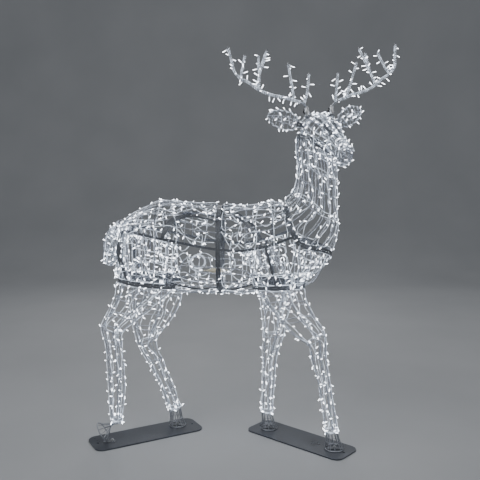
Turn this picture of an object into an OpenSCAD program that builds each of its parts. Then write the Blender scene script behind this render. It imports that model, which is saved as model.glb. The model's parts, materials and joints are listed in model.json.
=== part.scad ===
// Light-up yard reindeer: a welded rod-and-strip stag frame in bolted sections,
// wrapped in LED strings, standing on two steel base plates.
// +X runs from tail to chest, +Y is the animal's left, +Z is up.
// The tables give stations in a working frame with X = 0 at the middle of the
// body and Z = 0 on the ground; at_home() moves them to the part's origin,
// which is under the middle of the rear base plate.
// Where a "side" is asked for, -1 is the right and 1 the left.

/* [Frame stock] */
// Diameter of the long frame rods
rod_d = 5.5; // [5:0.5:6]
// Diameter of the cross rings and thin wires
wire_d = 4.5; // [3.5:0.5:5]
// Width of the flat bar used for seam rings and side strips
bar_w = 10; // [8:1:12]
// Thickness of the flat bar
bar_t = 3; // [2.5:0.5:3.5]
// Width of the broad straps on haunch and buttock
strap_w = 20; // [14:1:24]
// Gap left between two bolted sections
seam = 0.6; // [0.4:0.1:1]

/* [Body] */
// Half width that the body stations are shares of
barrel_half = 166; // [158:1:172]
// Number of cross struts between the two hind leg rings
pelvis_struts = 3; // [2:1:4]

/* [Base plates] */
// Length of each base plate
plate_l = 525; // [500:5:560]
// Width of each base plate
plate_w = 170; // [150:5:190]
// Thickness of each base plate
plate_t = 6; // [5:0.5:8]
// Corner radius of the plates
plate_r = 40; // [20:5:60]
// Diameter of the ground anchor holes
anchor_d = 11; // [9:0.5:14]
// Distance between the two anchor holes of one plate
anchor_pitch = 470; // [450:5:480]
// Diameter of the screws that hold the hooves
hoof_screw_d = 8; // [6:1:8]

/* [Antlers] */
// Outside diameter of the antler sockets
socket_od = 20; // [18:1:22]
// Diameter of the spigot that drops into a socket
spigot_d = 12; // [10:1:13]
// Height of the sockets
socket_h = 36; // [32:1:40]
// Radial clearance between spigot and socket
spigot_gap = 0.08; // [0.05:0.01:0.1]

/* [Fasteners] */
// Diameter of the section bolts
bolt_d = 6; // [5:1:6]
// Radial clearance of a bolt in its hole
bolt_gap = 0.3; // [0.2:0.05:0.5]

/* [LED strings] */
// Diameter of the LED cable
cable_d = 3; // [2.6:0.2:3.2]
// Base stand-off of the leg cables from the leg rings
cable_off = 7; // [6.5:0.5:8]
// Length of an LED stick
led_l = 16; // [10:1:20]
// Diameter of an LED stick
led_d = 5; // [4:0.5:5.5]

/* [Hidden] */
$fn = 20;

steel = [0.62, 0.64, 0.68];
dark_steel = [0.36, 0.38, 0.42];
slate = [0.20, 0.22, 0.26];
black = [0.08, 0.08, 0.09];
clear_white = [0.92, 0.94, 1.0];
cream = [0.93, 0.90, 0.78];

rod_r = rod_d / 2;
wire_r = wire_d / 2;
bolt_hole_d = bolt_d + 2 * bolt_gap;
seam_shift = (bar_w + seam) / 2; // seam middle to the middle of the bar on either side
rear_plate_at = [-351, 10];
front_plate_at = [369, -25];

module at_home() { translate([-rear_plate_at[0], -rear_plate_at[1], 0]) children(); }
module lift(z) { translate([0, 0, z]) children(); }

// ---------- vectors ----------
function unit(v) = v / norm(v);
function mix(a, b, t) = a * (1 - t) + b * t;
// point on a polyline at a running index such as 2.4
function along(points, place) =
  let(i = max(0, min(len(points) - 2, floor(place))))
  mix(points[i], points[i + 1], place - i);
// point on a table of [key, point] rows at a key
function keyed(rows, key, i = 0) =
  (i >= len(rows) - 2 || key <= rows[i + 1][0])
  ? mix(rows[i][1], rows[i + 1][1], (key - rows[i][0]) / (rows[i + 1][0] - rows[i][0]))
  : keyed(rows, key, i + 1);
// points given for the left side, put on either side
function on_side(side, points) = [for (p = points) [p[0], side * p[1], p[2]]];
// straight line with its middle pushed out by bow
function bowed(start, end, bow) = [start, mix(start, end, 0.5) + bow, end];

// ---------- rods and bars ----------
// place children so that local Z points along axis and local X leans towards lean
module basis(at, axis, lean) {
  c = unit(axis);
  b = unit(cross(c, lean));
  a = cross(b, c);
  multmatrix([
    [a[0], b[0], c[0], at[0]],
    [a[1], b[1], c[1], at[1]],
    [a[2], b[2], c[2], at[2]],
    [0, 0, 0, 1]]) children();
}
function side_of(v) = abs(unit(v)[2]) < 0.9 ? [0, 0, 1] : [1, 0, 0];
// Rods are drawn as six-sided and thin wires as four-sided bar, so that every weld
// is a clean joint.
module rod(start, end, r = rod_r) {
  run = end - start;
  basis(start, run, side_of(run)) cylinder(r = r, h = norm(run), $fn = r < 2.4 ? 4 : 6);
}
module weld_collar(at, axis, r) {
  basis(at - unit(axis) * r * 0.7, axis, side_of(axis)) cylinder(r = r * 1.5, h = 1.4 * r, $fn = 4);
}
// bent rod: straight runs that stop just short of each bend, inside a weld collar
module rod_path(points, r = rod_r) {
  last = len(points) - 1;
  trim = 0.25 * r;
  for (i = [0:last - 1]) {
    dir = unit(points[i + 1] - points[i]);
    rod(points[i] + dir * (i == 0 ? 0 : trim),
      points[i + 1] - dir * (i == last - 1 ? 0 : trim), r);
  }
  for (i = [1:1:last - 1])
    weld_collar(points[i],
      unit(points[i] - points[i - 1]) + unit(points[i + 1] - points[i]), r);
}
// flat bar bent along points; outs has the outward normal of the skin at each
module bar_path(points, outs, w = bar_w) {
  lap = bar_t * 0.4;
  for (i = [0:len(points) - 2]) {
    run = points[i + 1] - points[i];
    basis(points[i] - unit(run) * lap, run, outs[i] + outs[i + 1])
      translate([-bar_t / 2, -w / 2, 0]) cube([bar_t, w, norm(run) + 2 * lap]);
  }
}
// flat bar facing straight out to one side
module side_bar(points, side) { bar_path(points, [for (p = points) [0, side, 0]]); }

// ---------- rings ----------
// A ring is [centre, to 0, to 90, to 180]: three vectors from the centre to the
// 0, 90 and 180 degree points of an ellipse whose two halves differ in radius.
function ring_pt(ring, angle, off = 0) =
  let(c = cos(angle), s = sin(angle),
    reach = c >= 0 ? ring[1] : -ring[3],
    out = unit(unit(reach) * c * norm(ring[2]) + unit(ring[2]) * s * norm(reach)))
  ring[0] + reach * c + ring[2] * s + out * off;
function ring_out(ring, angle) = unit(ring_pt(ring, angle, 1) - ring_pt(ring, angle, 0));
function ring_sign(ring) = cross(ring[1], ring[2])[2] > 0 ? 1 : -1;
// ring normal, turned to point up
function ring_axis(ring) = unit(cross(ring[1], ring[2])) * ring_sign(ring);
// ring from its 0 and 180 degree points and its half width
function span_ring(p0, p180, half) =
  [(p0 + p180) / 2, (p0 - p180) / 2, [0, half, 0], (p180 - p0) / 2];
// rings from rows of x and z at 0 degrees, x and z at 180 degrees, half width
function span_rings(rows) =
  [for (row = rows) span_ring([row[0], 0, row[1]], [row[2], 0, row[3]], row[4])];
// ring at a running index such as 2.4
function ring_mix(rings, place) =
  let(i = max(0, min(len(rings) - 2, floor(place))))
  [for (k = [0:3]) mix(rings[i][k], rings[i + 1][k], place - i)];
function skin_pt(rings, place, angle, off = 0) = ring_pt(ring_mix(rings, place), angle, off);
// line through all rings at one angle
function lengthwise(rings, angle) = [for (ring = rings) ring_pt(ring, angle)];
// flat-bar ring in the ring's own plane; shift moves it along the ring's normal
module bar_ring(ring, shift = 0, w = bar_w, t = bar_t, n = 24) {
  normal = unit(cross(ring[1], ring[2]));
  x_dir = unit(ring[1]);
  y_dir = unit(ring[2]);
  function outline(off) = [for (i = [0:n - 1])
    let(v = ring_pt(ring, (i + 0.5) * 360 / n, off) - ring[0]) [v * x_dir, v * y_dir]];
  basis(ring[0] + normal * (shift - w / 2), normal, ring[1])
    linear_extrude(height = w) difference() {
      polygon(outline(t / 2));
      polygon(outline(-t / 2));
    }
}
// narrow hoop that ties the long rods together
module hoop(ring, n = 10, scale_by = 1) {
  bar_ring(ring, w = wire_d * scale_by, t = wire_d * 0.8 * scale_by, n = n);
}
// flat bar along stations of [ring place, angle]
module contour_strap(rings, stations, side, w) {
  bar_path([for (q = stations) skin_pt(rings, q[0], q[1] * side, 2)],
    [for (q = stations) ring_out(ring_mix(rings, q[0]), q[1] * side)], w);
}

// ---------- bolted seams ----------
// A seam is a list of [point, bolt axis, inward direction]. Each section has a
// drilled tab there; in tabs() and seam_end(), end is 1 for the section that the
// bolt axis points into and -1 for the other.
tab_in = 15; // seam line to bolt
tab_w = 18;
tab_t = 3;
bolt_tail = 12;
fit = 0.05; // clearance under bolt heads and nuts
wing_nut_h = 6;

function ring_bolts(ring, angles, axis) =
  [for (angle = angles) [ring_pt(ring, angle), axis, -ring_out(ring, angle)]];
module at_each(stations) {
  for (q = stations) basis(q[0], q[1], q[2]) children();
}
module tabs(stations, end) {
  at_each(stations) difference() {
    translate([-0.4 * bar_t, -tab_w / 2, end > 0 ? seam / 2 : -seam / 2 - tab_t])
      cube([tab_in + tab_w / 2, tab_w, tab_t]);
    translate([tab_in, 0, -10]) cylinder(d = bolt_hole_d, h = 20);
  }
}
// flat-bar ring and tabs that end a section
module seam_end(ring, stations, end) {
  bar_ring(ring, end * seam_shift * ring_sign(ring));
  tabs(stations, end);
}
module seam_bolts(stations) {
  at_each(stations) translate([tab_in, 0, 0]) {
    lift(-seam / 2 - tab_t - bolt_tail)
      cylinder(d = bolt_d, h = seam + 2 * tab_t + bolt_tail + 0.1);
    lift(seam / 2 + tab_t + fit) cylinder(d = 10, h = 4, $fn = 6);
  }
}
module seam_wing_nuts(stations) {
  at_each(stations)
    translate([tab_in, 0, -seam / 2 - tab_t - fit - wing_nut_h]) difference() {
      union() {
        cylinder(d = 11, h = wing_nut_h);
        for (turn = [90, 270])
          rotate([0, 0, turn]) translate([3.8, -1, 0.5]) rotate([0, 25, 0]) cube([11, 2, 6]);
      }
      lift(-10) cylinder(d = bolt_d + 0.1, h = 30);
    }
}

// ---------- body stations ----------
// Rows: x, top z, flank z, belly z, half width as a share of barrel_half.
// Body angles run from the back (0) over the left flank (90) to the belly (180).
mid_section = [1081, 899, 684, 0.99];
rear_rows = [
  concat([-seam_shift], mid_section),
  [-190, 1094, 934, 686, 1.01], [-275, 1096, 950, 705, 1], [-350, 1064, 966, 725, 0.92],
  [-405, 1032, 974, 740, 0.82], [-432, 1008, 970, 750, 0.74]];
front_rows = [
  concat([seam_shift], mid_section),
  [120, 1077, 897, 689, 1.02], [236, 1093, 922, 708, 1.04]];
function body_ring(row) = [[row[0], 0, row[2]], [0, 0, row[1] - row[2]],
  [0, row[4] * barrel_half, 0], [0, 0, row[3] - row[2]]];
rear_rings = [for (row = rear_rows) body_ring(row)];
front_rings = [for (row = front_rows) body_ring(row)];
body_seam = ring_bolts(body_ring(concat([0], mid_section)), [40, 140, 220, 320], [1, 0, 0]);

// neck seam: angle from the withers (0) round the side (90) to the chest (180), point
neck_seam_rows = [
  [0, [293, 0, 1098]], [30, [294, 84, 1080]], [60, [302, 140, 1032]], [84, [318, 166, 972]],
  [98, [340, 170, 932]], [112, [372, 164, 914]], [128, [412, 146, 904]],
  [146, [456, 112, 893]], [164, [490, 62, 877]], [180, [504, 0, 864]]];
function seam_pt(angle) =
  let(a = angle < -180 ? angle + 360 : angle > 180 ? angle - 360 : angle,
    p = keyed(neck_seam_rows, abs(a)))
  [p[0], (a < 0 ? -1 : 1) * p[1], p[2]];
function seam_dir(angle) = unit(seam_pt(angle + 6) - seam_pt(angle - 6));
// outward normal: away from the line through the chest's middle, square to the seam
function seam_out(angle) =
  let(p = seam_pt(angle), dir = seam_dir(angle),
    v = [max(0, p[0] - 380) * 1.1, p[1], (p[2] - 950) * (p[2] > 950 ? 1 : 0.15)])
  unit(v - dir * (v * dir));
function seam_axis(angle) = cross(seam_dir(angle), seam_out(angle));
// direction across the seam, from the body to the neck
function seam_across(angle) = let(v = seam_axis(angle)) (v * [0.9, 0, 0.45]) > 0 ? v : -v;
// point beside the seam: off > 0 is on the neck, off < 0 on the body
function by_seam(angle, off) = seam_pt(angle) + seam_across(angle) * off;
neck_seam = [for (angle = [-142, -48, 48, 142]) let(v = seam_axis(angle))
  [seam_pt(angle), v[0] > 0 ? v : -v, -seam_out(angle)]];
// seam strip and tabs: end is 1 for the neck's and -1 for the body's
module neck_seam_end(end) {
  angles = [-180:18:180];
  bar_path([for (a = angles) by_seam(a, end * seam_shift)], [for (a = angles) seam_out(a)]);
  tabs(neck_seam, end);
}

// ---------- leg stations ----------
// Rows: rear x, rear z, front x, front z, middle y, half width.
// The first row is the leg seam. Leg angles run from the front (0) over the left (90).
right_hind = leg_rings([
  [-445, 757, -195, 729, -105, 62], [-462, 680, -282, 645, -105, 55],
  [-494, 607, -366, 580, -102, 44], [-525, 549, -437, 507, -97, 36],
  [-511, 478, -437, 458, -94, 31], [-492, 104, -446, 98, -90, 24]]);
left_hind = leg_rings([
  [-445, 757, -195, 729, 105, 62], [-433, 575, -232, 556, 108, 50],
  [-422, 492, -280, 484, 110, 42], [-402, 412, -319, 434, 112, 36],
  [-350, 315, -291, 338, 114, 31], [-285, 175, -236, 190, 116, 26],
  [-257, 84, -203, 92, 116, 24]]);
right_fore = leg_rings([
  [149, 731, 376, 736, -108, 60], [268, 572, 420, 598, -117, 46],
  [334, 506, 448, 558, -122, 40], [389, 474, 466, 518, -125, 36],
  [408, 412, 470, 428, -127, 31], [447, 258, 496, 266, -131, 26],
  [474, 80, 527, 84, -133, 24]]);
left_fore = leg_rings([
  [149, 731, 376, 736, 108, 60], [176, 655, 348, 658, 108, 54],
  [192, 586, 320, 588, 106, 46], [196, 520, 302, 523, 104, 40],
  [196, 456, 292, 460, 102, 36], [197, 400, 267, 398, 100, 31],
  [192, 82, 241, 82, 94, 24]]);
leg_angles = [0, 72, 144, 216, 288];
leg_bolt_angles = [28, 152, 270];
function leg_rings(rows) = [for (row = rows)
  span_ring([row[2], row[4], row[3]], [row[0], row[4], row[1]], row[5])];
// bolt angles are mirrored on the left legs
function leg_seam(leg) = ring_bolts(leg[0],
  [for (a = leg_bolt_angles) leg[0][0][1] > 0 ? -a : a], ring_axis(leg[0]));
// point on the body's bar above a leg seam
function leg_top(leg, angle) = ring_pt(leg[0], angle) + ring_axis(leg[0]) * seam_shift;

// ---------- neck and head stations ----------
// back x, back z, front x, front z, half width
neck_rings = span_rings([
  [322, 1130, 527, 985, 138], [350, 1205, 520, 1108, 104], [350, 1270, 520, 1192, 84],
  [343, 1338, 512, 1268, 72], [346, 1392, 486, 1340, 66]]);
collar = neck_rings[4];
collar_seam = ring_bolts(collar, [60, 180, 300], ring_axis(collar));

// the head looks 70 degrees to the animal's right, with a slight roll
head_at = [445, 0, 1405];
head_yaw = -70;
head_roll = 4.5;
head_pitch = 11;
head_fwd = [cos(head_yaw), sin(head_yaw), 0];
level_left = [-sin(head_yaw), cos(head_yaw), 0];
head_left = level_left * cos(head_roll) + [0, 0, sin(head_roll)];
head_up = [0, 0, cos(head_roll)] - level_left * sin(head_roll);
// unpitched head frame (forward, left, up), and the same pitched down with the face
function crown(fwd, left, up) = head_at + head_fwd * fwd + head_left * left + head_up * up;
function face(fwd, left, up) = crown(fwd * cos(head_pitch) + up * sin(head_pitch), left,
  -fwd * sin(head_pitch) + up * cos(head_pitch));
// forward, top, middle, bottom, half width
head_rows = [
  [-78, 38, -15, -66, 48], [-48, 66, 0, -92, 70], [0, 76, 4, -104, 79],
  [55, 68, -4, -108, 74], [110, 43, -24, -106, 58], [170, 14, -42, -108, 46],
  [222, -6, -52, -106, 42], [255, -28, -58, -92, 31]];
function head_ring(row) = let(c = face(row[0], 0, row[2]))
  [c, face(row[0], 0, row[1]) - c, face(row[0], row[4], row[2]) - c, face(row[0], 0, row[3]) - c];
head_rings = [for (row = head_rows) head_ring(row)];

// ---------- base plates and hooves ----------
// hoof screw places
rh_toe = [-490, -90];
lh_sole = [-219, 116];
rf_sole = [514, -133];
lf_sole = [226, 94];
hoof_screw_at = [rh_toe, lh_sole, rf_sole, lf_sole];
hoof_hole_d = hoof_screw_d + 1;
hoof_wire_r = 1.8;
hoof_tab_z = plate_t + 0.1;
hoof_tab_t = 3;

module plate(at, turn, screws) {
  translate([at[0], at[1], 0]) rotate([0, 0, turn]) difference() {
    linear_extrude(height = plate_t) union() {
      square([plate_l - 2 * plate_r, plate_w], center = true);
      square([plate_l, plate_w - 2 * plate_r], center = true);
      for (x = [-1, 1], y = [-1, 1])
        translate([x * (plate_l / 2 - plate_r), y * (plate_w / 2 - plate_r)])
          circle(r = plate_r, $fn = 64);
    }
    for (x = [-1, 1])
      translate([x * anchor_pitch / 2, 0, -1]) cylinder(d = anchor_d, h = plate_t + 2);
    // screw holes, countersunk from below
    for (p = screws) rotate([0, 0, -turn]) translate([p[0] - at[0], p[1] - at[1], 0]) {
      lift(-1) cylinder(d = hoof_hole_d, h = plate_t + 2);
      lift(-0.01) cylinder(r1 = hoof_screw_d + 0.3, r2 = hoof_hole_d / 2,
        h = hoof_screw_d / 2 - 0.2);
    }
  }
}
module rear_base_plate() {
  color(slate) at_home() plate(rear_plate_at, turn = 31, screws = [rh_toe, lh_sole]);
}
module front_base_plate() {
  color(slate) at_home() plate(front_plate_at, turn = -39, screws = [rf_sole, lf_sole]);
}
module hoof_screws() {
  color(dark_steel) at_home() for (p = hoof_screw_at) translate([p[0], p[1], 0]) {
    lift(0.2) cylinder(r1 = hoof_screw_d - 0.1, r2 = hoof_screw_d / 2,
      h = hoof_screw_d / 2 - 0.1);
    lift(1) cylinder(d = hoof_screw_d, h = plate_t + 13);
  }
}
module hoof_nuts() {
  color(dark_steel) at_home() for (p = hoof_screw_at)
    translate([p[0], p[1], hoof_tab_z + hoof_tab_t + 0.1]) difference() {
      cylinder(d = hoof_screw_d * 1.8, h = 6.5, $fn = 6);
      lift(-1) cylinder(d = hoof_screw_d + 0.1, h = 10);
    }
}
// drilled flat from x0 to x1 beside the screw that clamps it to the plate
module hoof_tab(at, x0, x1, w) {
  translate([at[0], at[1], hoof_tab_z]) difference() {
    translate([x0, -w / 2, 0]) cube([x1 - x0, w, hoof_tab_t]);
    lift(-1) cylinder(d = hoof_hole_d, h = 6);
  }
}
// five wires from the fetlock ring to the sole ring; turn is the fetlock angle
// that meets the sole's 0 degree point
module hoof_cage(fetlock, sole, turn = 0) {
  for (a = leg_angles) rod(ring_pt(fetlock, a + turn), ring_pt(sole, a), hoof_wire_r);
  bar_ring(sole, w = wire_d, t = 4, n = 18);
}
// upright hoof on a round sole ring with a cross bar
module hoof(fetlock, at, r_sole) {
  hoof_cage(fetlock, [[at[0], at[1], plate_t + 0.3 + wire_d / 2],
    [r_sole, 0, 0], [0, r_sole, 0], [-r_sole, 0, 0]]);
  hoof_tab(at, -r_sole, r_sole, 20);
}
// hind hoof flexed on to its toe: a tilted sole ring, and a toe tab on two struts
module flexed_hoof(fetlock) {
  reach = unit([49, 0, -80]) * 44;
  sole = [[-534, fetlock[0][1], 53], reach, [0, 38, 0], -reach];
  hoof_cage(fetlock, sole, turn = 180);
  hoof_tab(rh_toe, -40, 14, 28);
  for (side = [-1, 1])
    rod([rh_toe[0] - 36, rh_toe[1] + side * 11.5, plate_t + 2.4], ring_pt(sole, side * 20), 2);
}

// ---------- legs ----------
module leg_frame(leg, hooped) {
  seam_end(leg[0], leg_seam(leg), -1);
  drop = ring_axis(leg[0]) * (bar_w / 2 + seam);
  for (a = leg_angles)
    rod_path([for (i = [0:len(leg) - 1]) ring_pt(leg[i], a) - (i == 0 ? drop : [0, 0, 0])]);
  for (i = hooped) hoop(leg[i]);
}
module right_hind_leg() {
  color(steel) at_home() {
    leg_frame(right_hind, [1, 3, 4, 5]);
    flexed_hoof(right_hind[5]);
  }
}
module left_hind_leg() {
  color(steel) at_home() {
    leg_frame(left_hind, [1, 3, 4, 6]);
    hoof(left_hind[6], lh_sole, r_sole = 39);
  }
}
module right_fore_leg() {
  color(steel) at_home() {
    leg_frame(right_fore, [1, 3, 4, 6]);
    hoof(right_fore[6], rf_sole, r_sole = 41);
  }
}
module left_fore_leg() {
  color(steel) at_home() {
    leg_frame(left_fore, [1, 3, 5, 6]);
    hoof(left_fore[6], lf_sole, r_sole = 39);
  }
}

// ---------- rear body ----------
upper_angles = [-67, -45, -22, 0, 22, 45, 67];
// arch over the back from flank to flank, bent between the long rods
module rib(ring) {
  rod_path([for (a = [-89, -78, -56, -33, -11, 11, 33, 56, 78, 89]) ring_pt(ring, a)], wire_r);
}

// haunch strap from the mid ring over the hip to the flank: ring place, angle
haunch_stations = [[0, 50], [0.3, 47], [0.55, 45], [0.8, 48], [1.1, 58], [1.4, 74], [1.6, 90]];
// thigh rods: ring place on the flank strip, leg seam angle
thigh_rods = [[4.2, 145], [3.3, 118], [2.6, 96], [1.9, 72], [1.25, 45]];
// left-hand points, each with the strap's outward normal where there is one
buttock_rod = [[-431, 121, 971], [-446, 112, 915], [-450, 108, 860], [-447, 106, 805]];
buttock_strap = [[-424, 126, 974], [-432, 138, 915], [-430, 146, 860], [-412, 152, 812]];
buttock_outs = [[-0.6, 1, 0], [-0.6, 1, 0], [-0.4, 1, 0], [-0.2, 1, 0]];
// bar across the rear of the pelvis
pelvis_x = -449;
pelvis_z = 764;
// tail mounting
tail_plate_x = -449; // rear face of the body's plate
tail_screw_z = [966, 992];

// upright plate, drilled for the tail screws
module tail_plate(x, z, w, h) {
  difference() {
    translate([x, -w / 2, z]) cube([3, w, h]);
    for (screw_z = tail_screw_z)
      translate([-455, 0, screw_z]) rotate([0, 90, 0]) cylinder(d = bolt_hole_d, h = 12);
  }
}
module haunch(side) {
  rings = rear_rings;
  leg = side < 0 ? right_hind : left_hind;
  side_bar(lengthwise(rings, 90 * side), side);
  contour_strap(rings, haunch_stations, side, strap_w);
  seam_end(leg[0], leg_seam(leg), 1);
  for (q = thigh_rods)
    rod_path(bowed(skin_pt(rings, q[0], 90 * side), leg_top(leg, q[1] * side), [0, side * 9, 0]));
  // buttock rod and strap from the rump arch down the back of the thigh
  rod_path(concat(on_side(side, buttock_rod), [leg_top(leg, 180)]));
  strap = on_side(side, buttock_strap);
  bar_path(strap, on_side(side, buttock_outs), strap_w);
  rod_path([strap[3], leg_top(leg, 134 * side)]);
  // lower side rods from the mid ring back to the leg seam
  rod_path([ring_pt(rings[0], 112 * side), skin_pt(rings, 0.9, 116 * side),
    leg_top(leg, 34 * side)]);
  rod_path([ring_pt(rings[0], 134 * side), skin_pt(rings, 0.49, 134 * side), leg_top(leg, 0)]);
  rod_path([ring_pt(rings[0], 158 * side), [-185, 52 * side, 704],
    leg_top(leg, -62 * side) + [2.5, 0, 1.5]]);
}
// belly rod, pelvis bar and struts between the leg seams
module pelvis() {
  rod_path([ring_pt(rear_rings[0], 180), [-190, 0, 688], [-240, 0, 716], [-330, 0, 749],
    [pelvis_x, 0, pelvis_z]]);
  rod([pelvis_x, -110, pelvis_z], [pelvis_x, 110, pelvis_z]);
  rise = [0, 0, 1.5];
  for (i = [1:pelvis_struts]) {
    a = 180 - 180 * i / (pelvis_struts + 1);
    rod(leg_top(right_hind, a) + rise, leg_top(left_hind, -a) + rise, wire_r);
  }
}
// rods between the rump arch, the tail plate and the pelvis bar
module rump() {
  arch = rear_rings[5];
  for (y = [-11, 11]) rod(ring_pt(arch, 0), [-447.5, y, 1002], wire_r);
  rod_path([[-447.5, 0, 950], [-446, 0, 938], [-450, 0, 860], [pelvis_x, 0, pelvis_z]]);
  for (side = [-1, 1])
    rod_path([ring_pt(arch, 45 * side), [-448, 62 * side, 920], [-451, 60 * side, 840],
      [pelvis_x, 60 * side, pelvis_z]]);
  tail_plate(x = tail_plate_x, z = 948, w = 28, h = 60);
}
module rear_body_frame() {
  color(steel) at_home() {
    bar_ring(rear_rings[0], n = 32);
    tabs(body_seam, -1);
    for (a = upper_angles) rod_path(lengthwise(rear_rings, a));
    // loin rib and rump arch
    for (i = [2, 5]) rib(rear_rings[i]);
    for (side = [-1, 1]) haunch(side);
    pelvis();
    rump();
  }
}

// ---------- front body ----------
keel = [ring_pt(front_rings[0], 180), [85, 0, 684], [170, 0, 696], [330, 0, 702],
  [400, 0, 724], [446, 0, 776], [488, 0, 832], [502, 0, 858]];
// shoulder strap: ring place, angle
shoulder_stations = [[0.35, 30], [0.83, 46], [1.25, 66], [1.57, 90]];
// shoulder rods: ring place on the flank strip, leg seam angle
shoulder_rods = [[1.08, 158], [1.45, 128], [1.94, 66]];
// keel struts: leg seam angle, place along the keel
keel_struts = [[-100, 2.3], [-50, 3.6]];

// line along the body at one angle, on to the neck seam
function front_line(angle) =
  concat(lengthwise(front_rings, angle), [seam_pt(angle) - [bar_w / 2, 0, 0]]);
module shoulder(side) {
  rings = front_rings;
  leg = side < 0 ? right_fore : left_fore;
  bow = [0, side * 8, 0];
  side_bar(front_line(90 * side), side);
  seam_end(leg[0], leg_seam(leg), 1);
  contour_strap(rings, shoulder_stations, side, bar_w * 1.3);
  for (q = shoulder_rods)
    rod_path(bowed(skin_pt(rings, q[0], 90 * side), leg_top(leg, q[1] * side), bow));
  // shoulder blade strip
  side_bar(bowed(skin_pt(rings, 1.72, 90 * side), leg_top(leg, 96 * side), bow), side);
  // lower side rods from the mid ring forward to the leg seam
  rod_path([ring_pt(rings[0], 112 * side), ring_pt(rings[1], 118 * side),
    leg_top(leg, 146 * side)]);
  rod_path([ring_pt(rings[0], 134 * side), skin_pt(rings, 0.7, 134 * side),
    leg_top(leg, 180 * side)]);
  rod_path([ring_pt(rings[0], 158 * side), skin_pt(rings, 0.7, 158 * side),
    leg_top(leg, -120 * side)]);
  for (q = keel_struts) rod(leg_top(leg, q[0] * side), along(keel, q[1]), wire_r);
}
// rods from the neck seam to the leg seam
module chest(side) {
  leg = side < 0 ? right_fore : left_fore;
  edge = -bar_w / 2;
  rod_path(bowed(by_seam(104 * side, edge), leg_top(leg, 44 * side), [2, 8 * side, 0]));
  rod_path([by_seam(122 * side, edge), [402, 138 * side, 830], leg_top(leg, 22 * side)]);
  rod_path([by_seam(142 * side, edge), [434, 108 * side, 815], leg_top(leg, 2 * side)]);
  rod_path([by_seam(162 * side, edge), [456, 62 * side, 810], [410, 62 * side, 742],
    leg_top(leg, -34 * side)]);
}
module front_body_frame() {
  color(steel) at_home() {
    bar_ring(front_rings[0], n = 32);
    tabs(body_seam, 1);
    for (a = upper_angles) rod_path(front_line(a));
    // rib over the withers
    rib(front_rings[2]);
    neck_seam_end(-1);
    for (side = [-1, 1]) {
      shoulder(side);
      chest(side);
    }
    rod_path(keel);
  }
}

// ---------- tail ----------
// outer x, outer z, inner x, inner z, half width
tail_rings = span_rings([
  [-455, 1012, -451, 958, 20], [-478, 995, -455, 938, 27], [-504, 973, -464, 910, 32],
  [-526, 934, -470, 890, 35], [-534, 878, -478, 846, 33], [-535, 820, -498, 804, 22]]);
module tail_frame() {
  color(steel) at_home() {
    for (a = leg_angles) rod_path(lengthwise(tail_rings, a), wire_r);
    for (i = [1:5]) hoop(tail_rings[i], 9, 0.8);
    tail_plate(x = tail_plate_x - 3.2, z = 950, w = 36, h = 66);
  }
}
// children on each tail screw's axis, local Z forward
module at_tail_screws(x) {
  for (z = tail_screw_z) translate([x, 0, z]) rotate([0, 90, 0]) children();
}
module tail_bolts() {
  color(dark_steel) at_home() at_tail_screws(tail_plate_x - 3.3) {
    lift(-4) cylinder(d = 10, h = 3.95, $fn = 6);
    lift(-0.1) cylinder(d = bolt_d, h = 16);
  }
}
module tail_wing_nuts() {
  color(steel) at_home() at_tail_screws(tail_plate_x + 3.1) difference() {
    cylinder(d = 10, h = 5, $fn = 6);
    lift(-1) cylinder(d = bolt_d + 0.1, h = 10);
  }
}

// ---------- neck ----------
// line from the neck seam up to just below the collar
function neck_line(angle) = concat([by_seam(angle, bar_w / 2)],
  [for (i = [0:3]) ring_pt(neck_rings[i], angle)], [skin_pt(neck_rings, 3.93, angle)]);
module neck_frame() {
  color(steel) at_home() {
    neck_seam_end(1);
    for (a = [40:40:320]) rod_path(neck_line(a));
    // nape rod, heavier than the rest
    rod_path(neck_line(0), rod_r * 1.2);
    for (i = [0:3]) hoop(neck_rings[i], 10, 0.9);
    seam_end(collar, collar_seam, -1);
  }
}

// ---------- head ----------
antler_foot = [8, 60, 74]; // socket base: forward, out to the side, up
bore_r = spigot_d / 2 + spigot_gap;
thumb_r = 2.5;
thumb_z = 22; // height of the thumb screw on the socket
// throat rods: collar angle, head ring, angle on that ring
throat_rods = [[0, 2, 260], [30, 1, 260], [90, 0, 100], [120, 1, 100], [150, 2, 100],
  [200, 3, 110], [225, 4, 150], [240, 4, 240], [268, 3, 280], [330, 2, 250]];
// struts to the sockets and to the ear brackets: head ring, angle
socket_struts = [[1, 40], [2, 40], [3, 40], [2, 80]];
ear_struts = [[1, 80], [2, 80], [1, 40]];

// crown point from [forward, outward, up]
function crown_pt(side, p) = crown(p[0], side * p[1], p[2]);
// local Z up, local X to the back of the head
module socket_at(side) { basis(crown_pt(side, antler_foot), head_up, -head_fwd) children(); }
// inside socket_at: the thumb screw's axis, starting out from the bore's axis
module thumb_axis(out = 0) { translate([out, 0, thumb_z]) rotate([0, 90, 0]) children(); }
// room kept for a neck ring and what it carries, from z0 to z1 along its axis
module room_for(ring, z0, z1) {
  margin = 24;
  axis = ring_axis(ring);
  basis(ring[0] + axis * z0, axis, unit(ring[1])) linear_extrude(z1 - z0)
    polygon([for (a = [0:30:330])
      [cos(a) * (norm(ring[1]) + margin), sin(a) * (norm(ring[2]) + margin)]]);
}
// long wires, hoops and strips
module skull() {
  rings = head_rings;
  for (a = [0:40:320]) rod_path(lengthwise(rings, a), wire_r);
  for (ring = rings) hoop(ring, 9, 0.85);
  for (side = [-1, 1]) {
    bar_path([for (i = [1:5]) ring_pt(rings[i], 22 * side, 1)],
      [for (i = [1:5]) ring_out(rings[i], 22 * side)], bar_w * 1.1);
    bar_path([for (i = [0:6]) ring_pt(rings[i], 100 * side, 1)],
      [for (i = [0:6]) ring_out(rings[i], 100 * side)]);
  }
}
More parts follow.
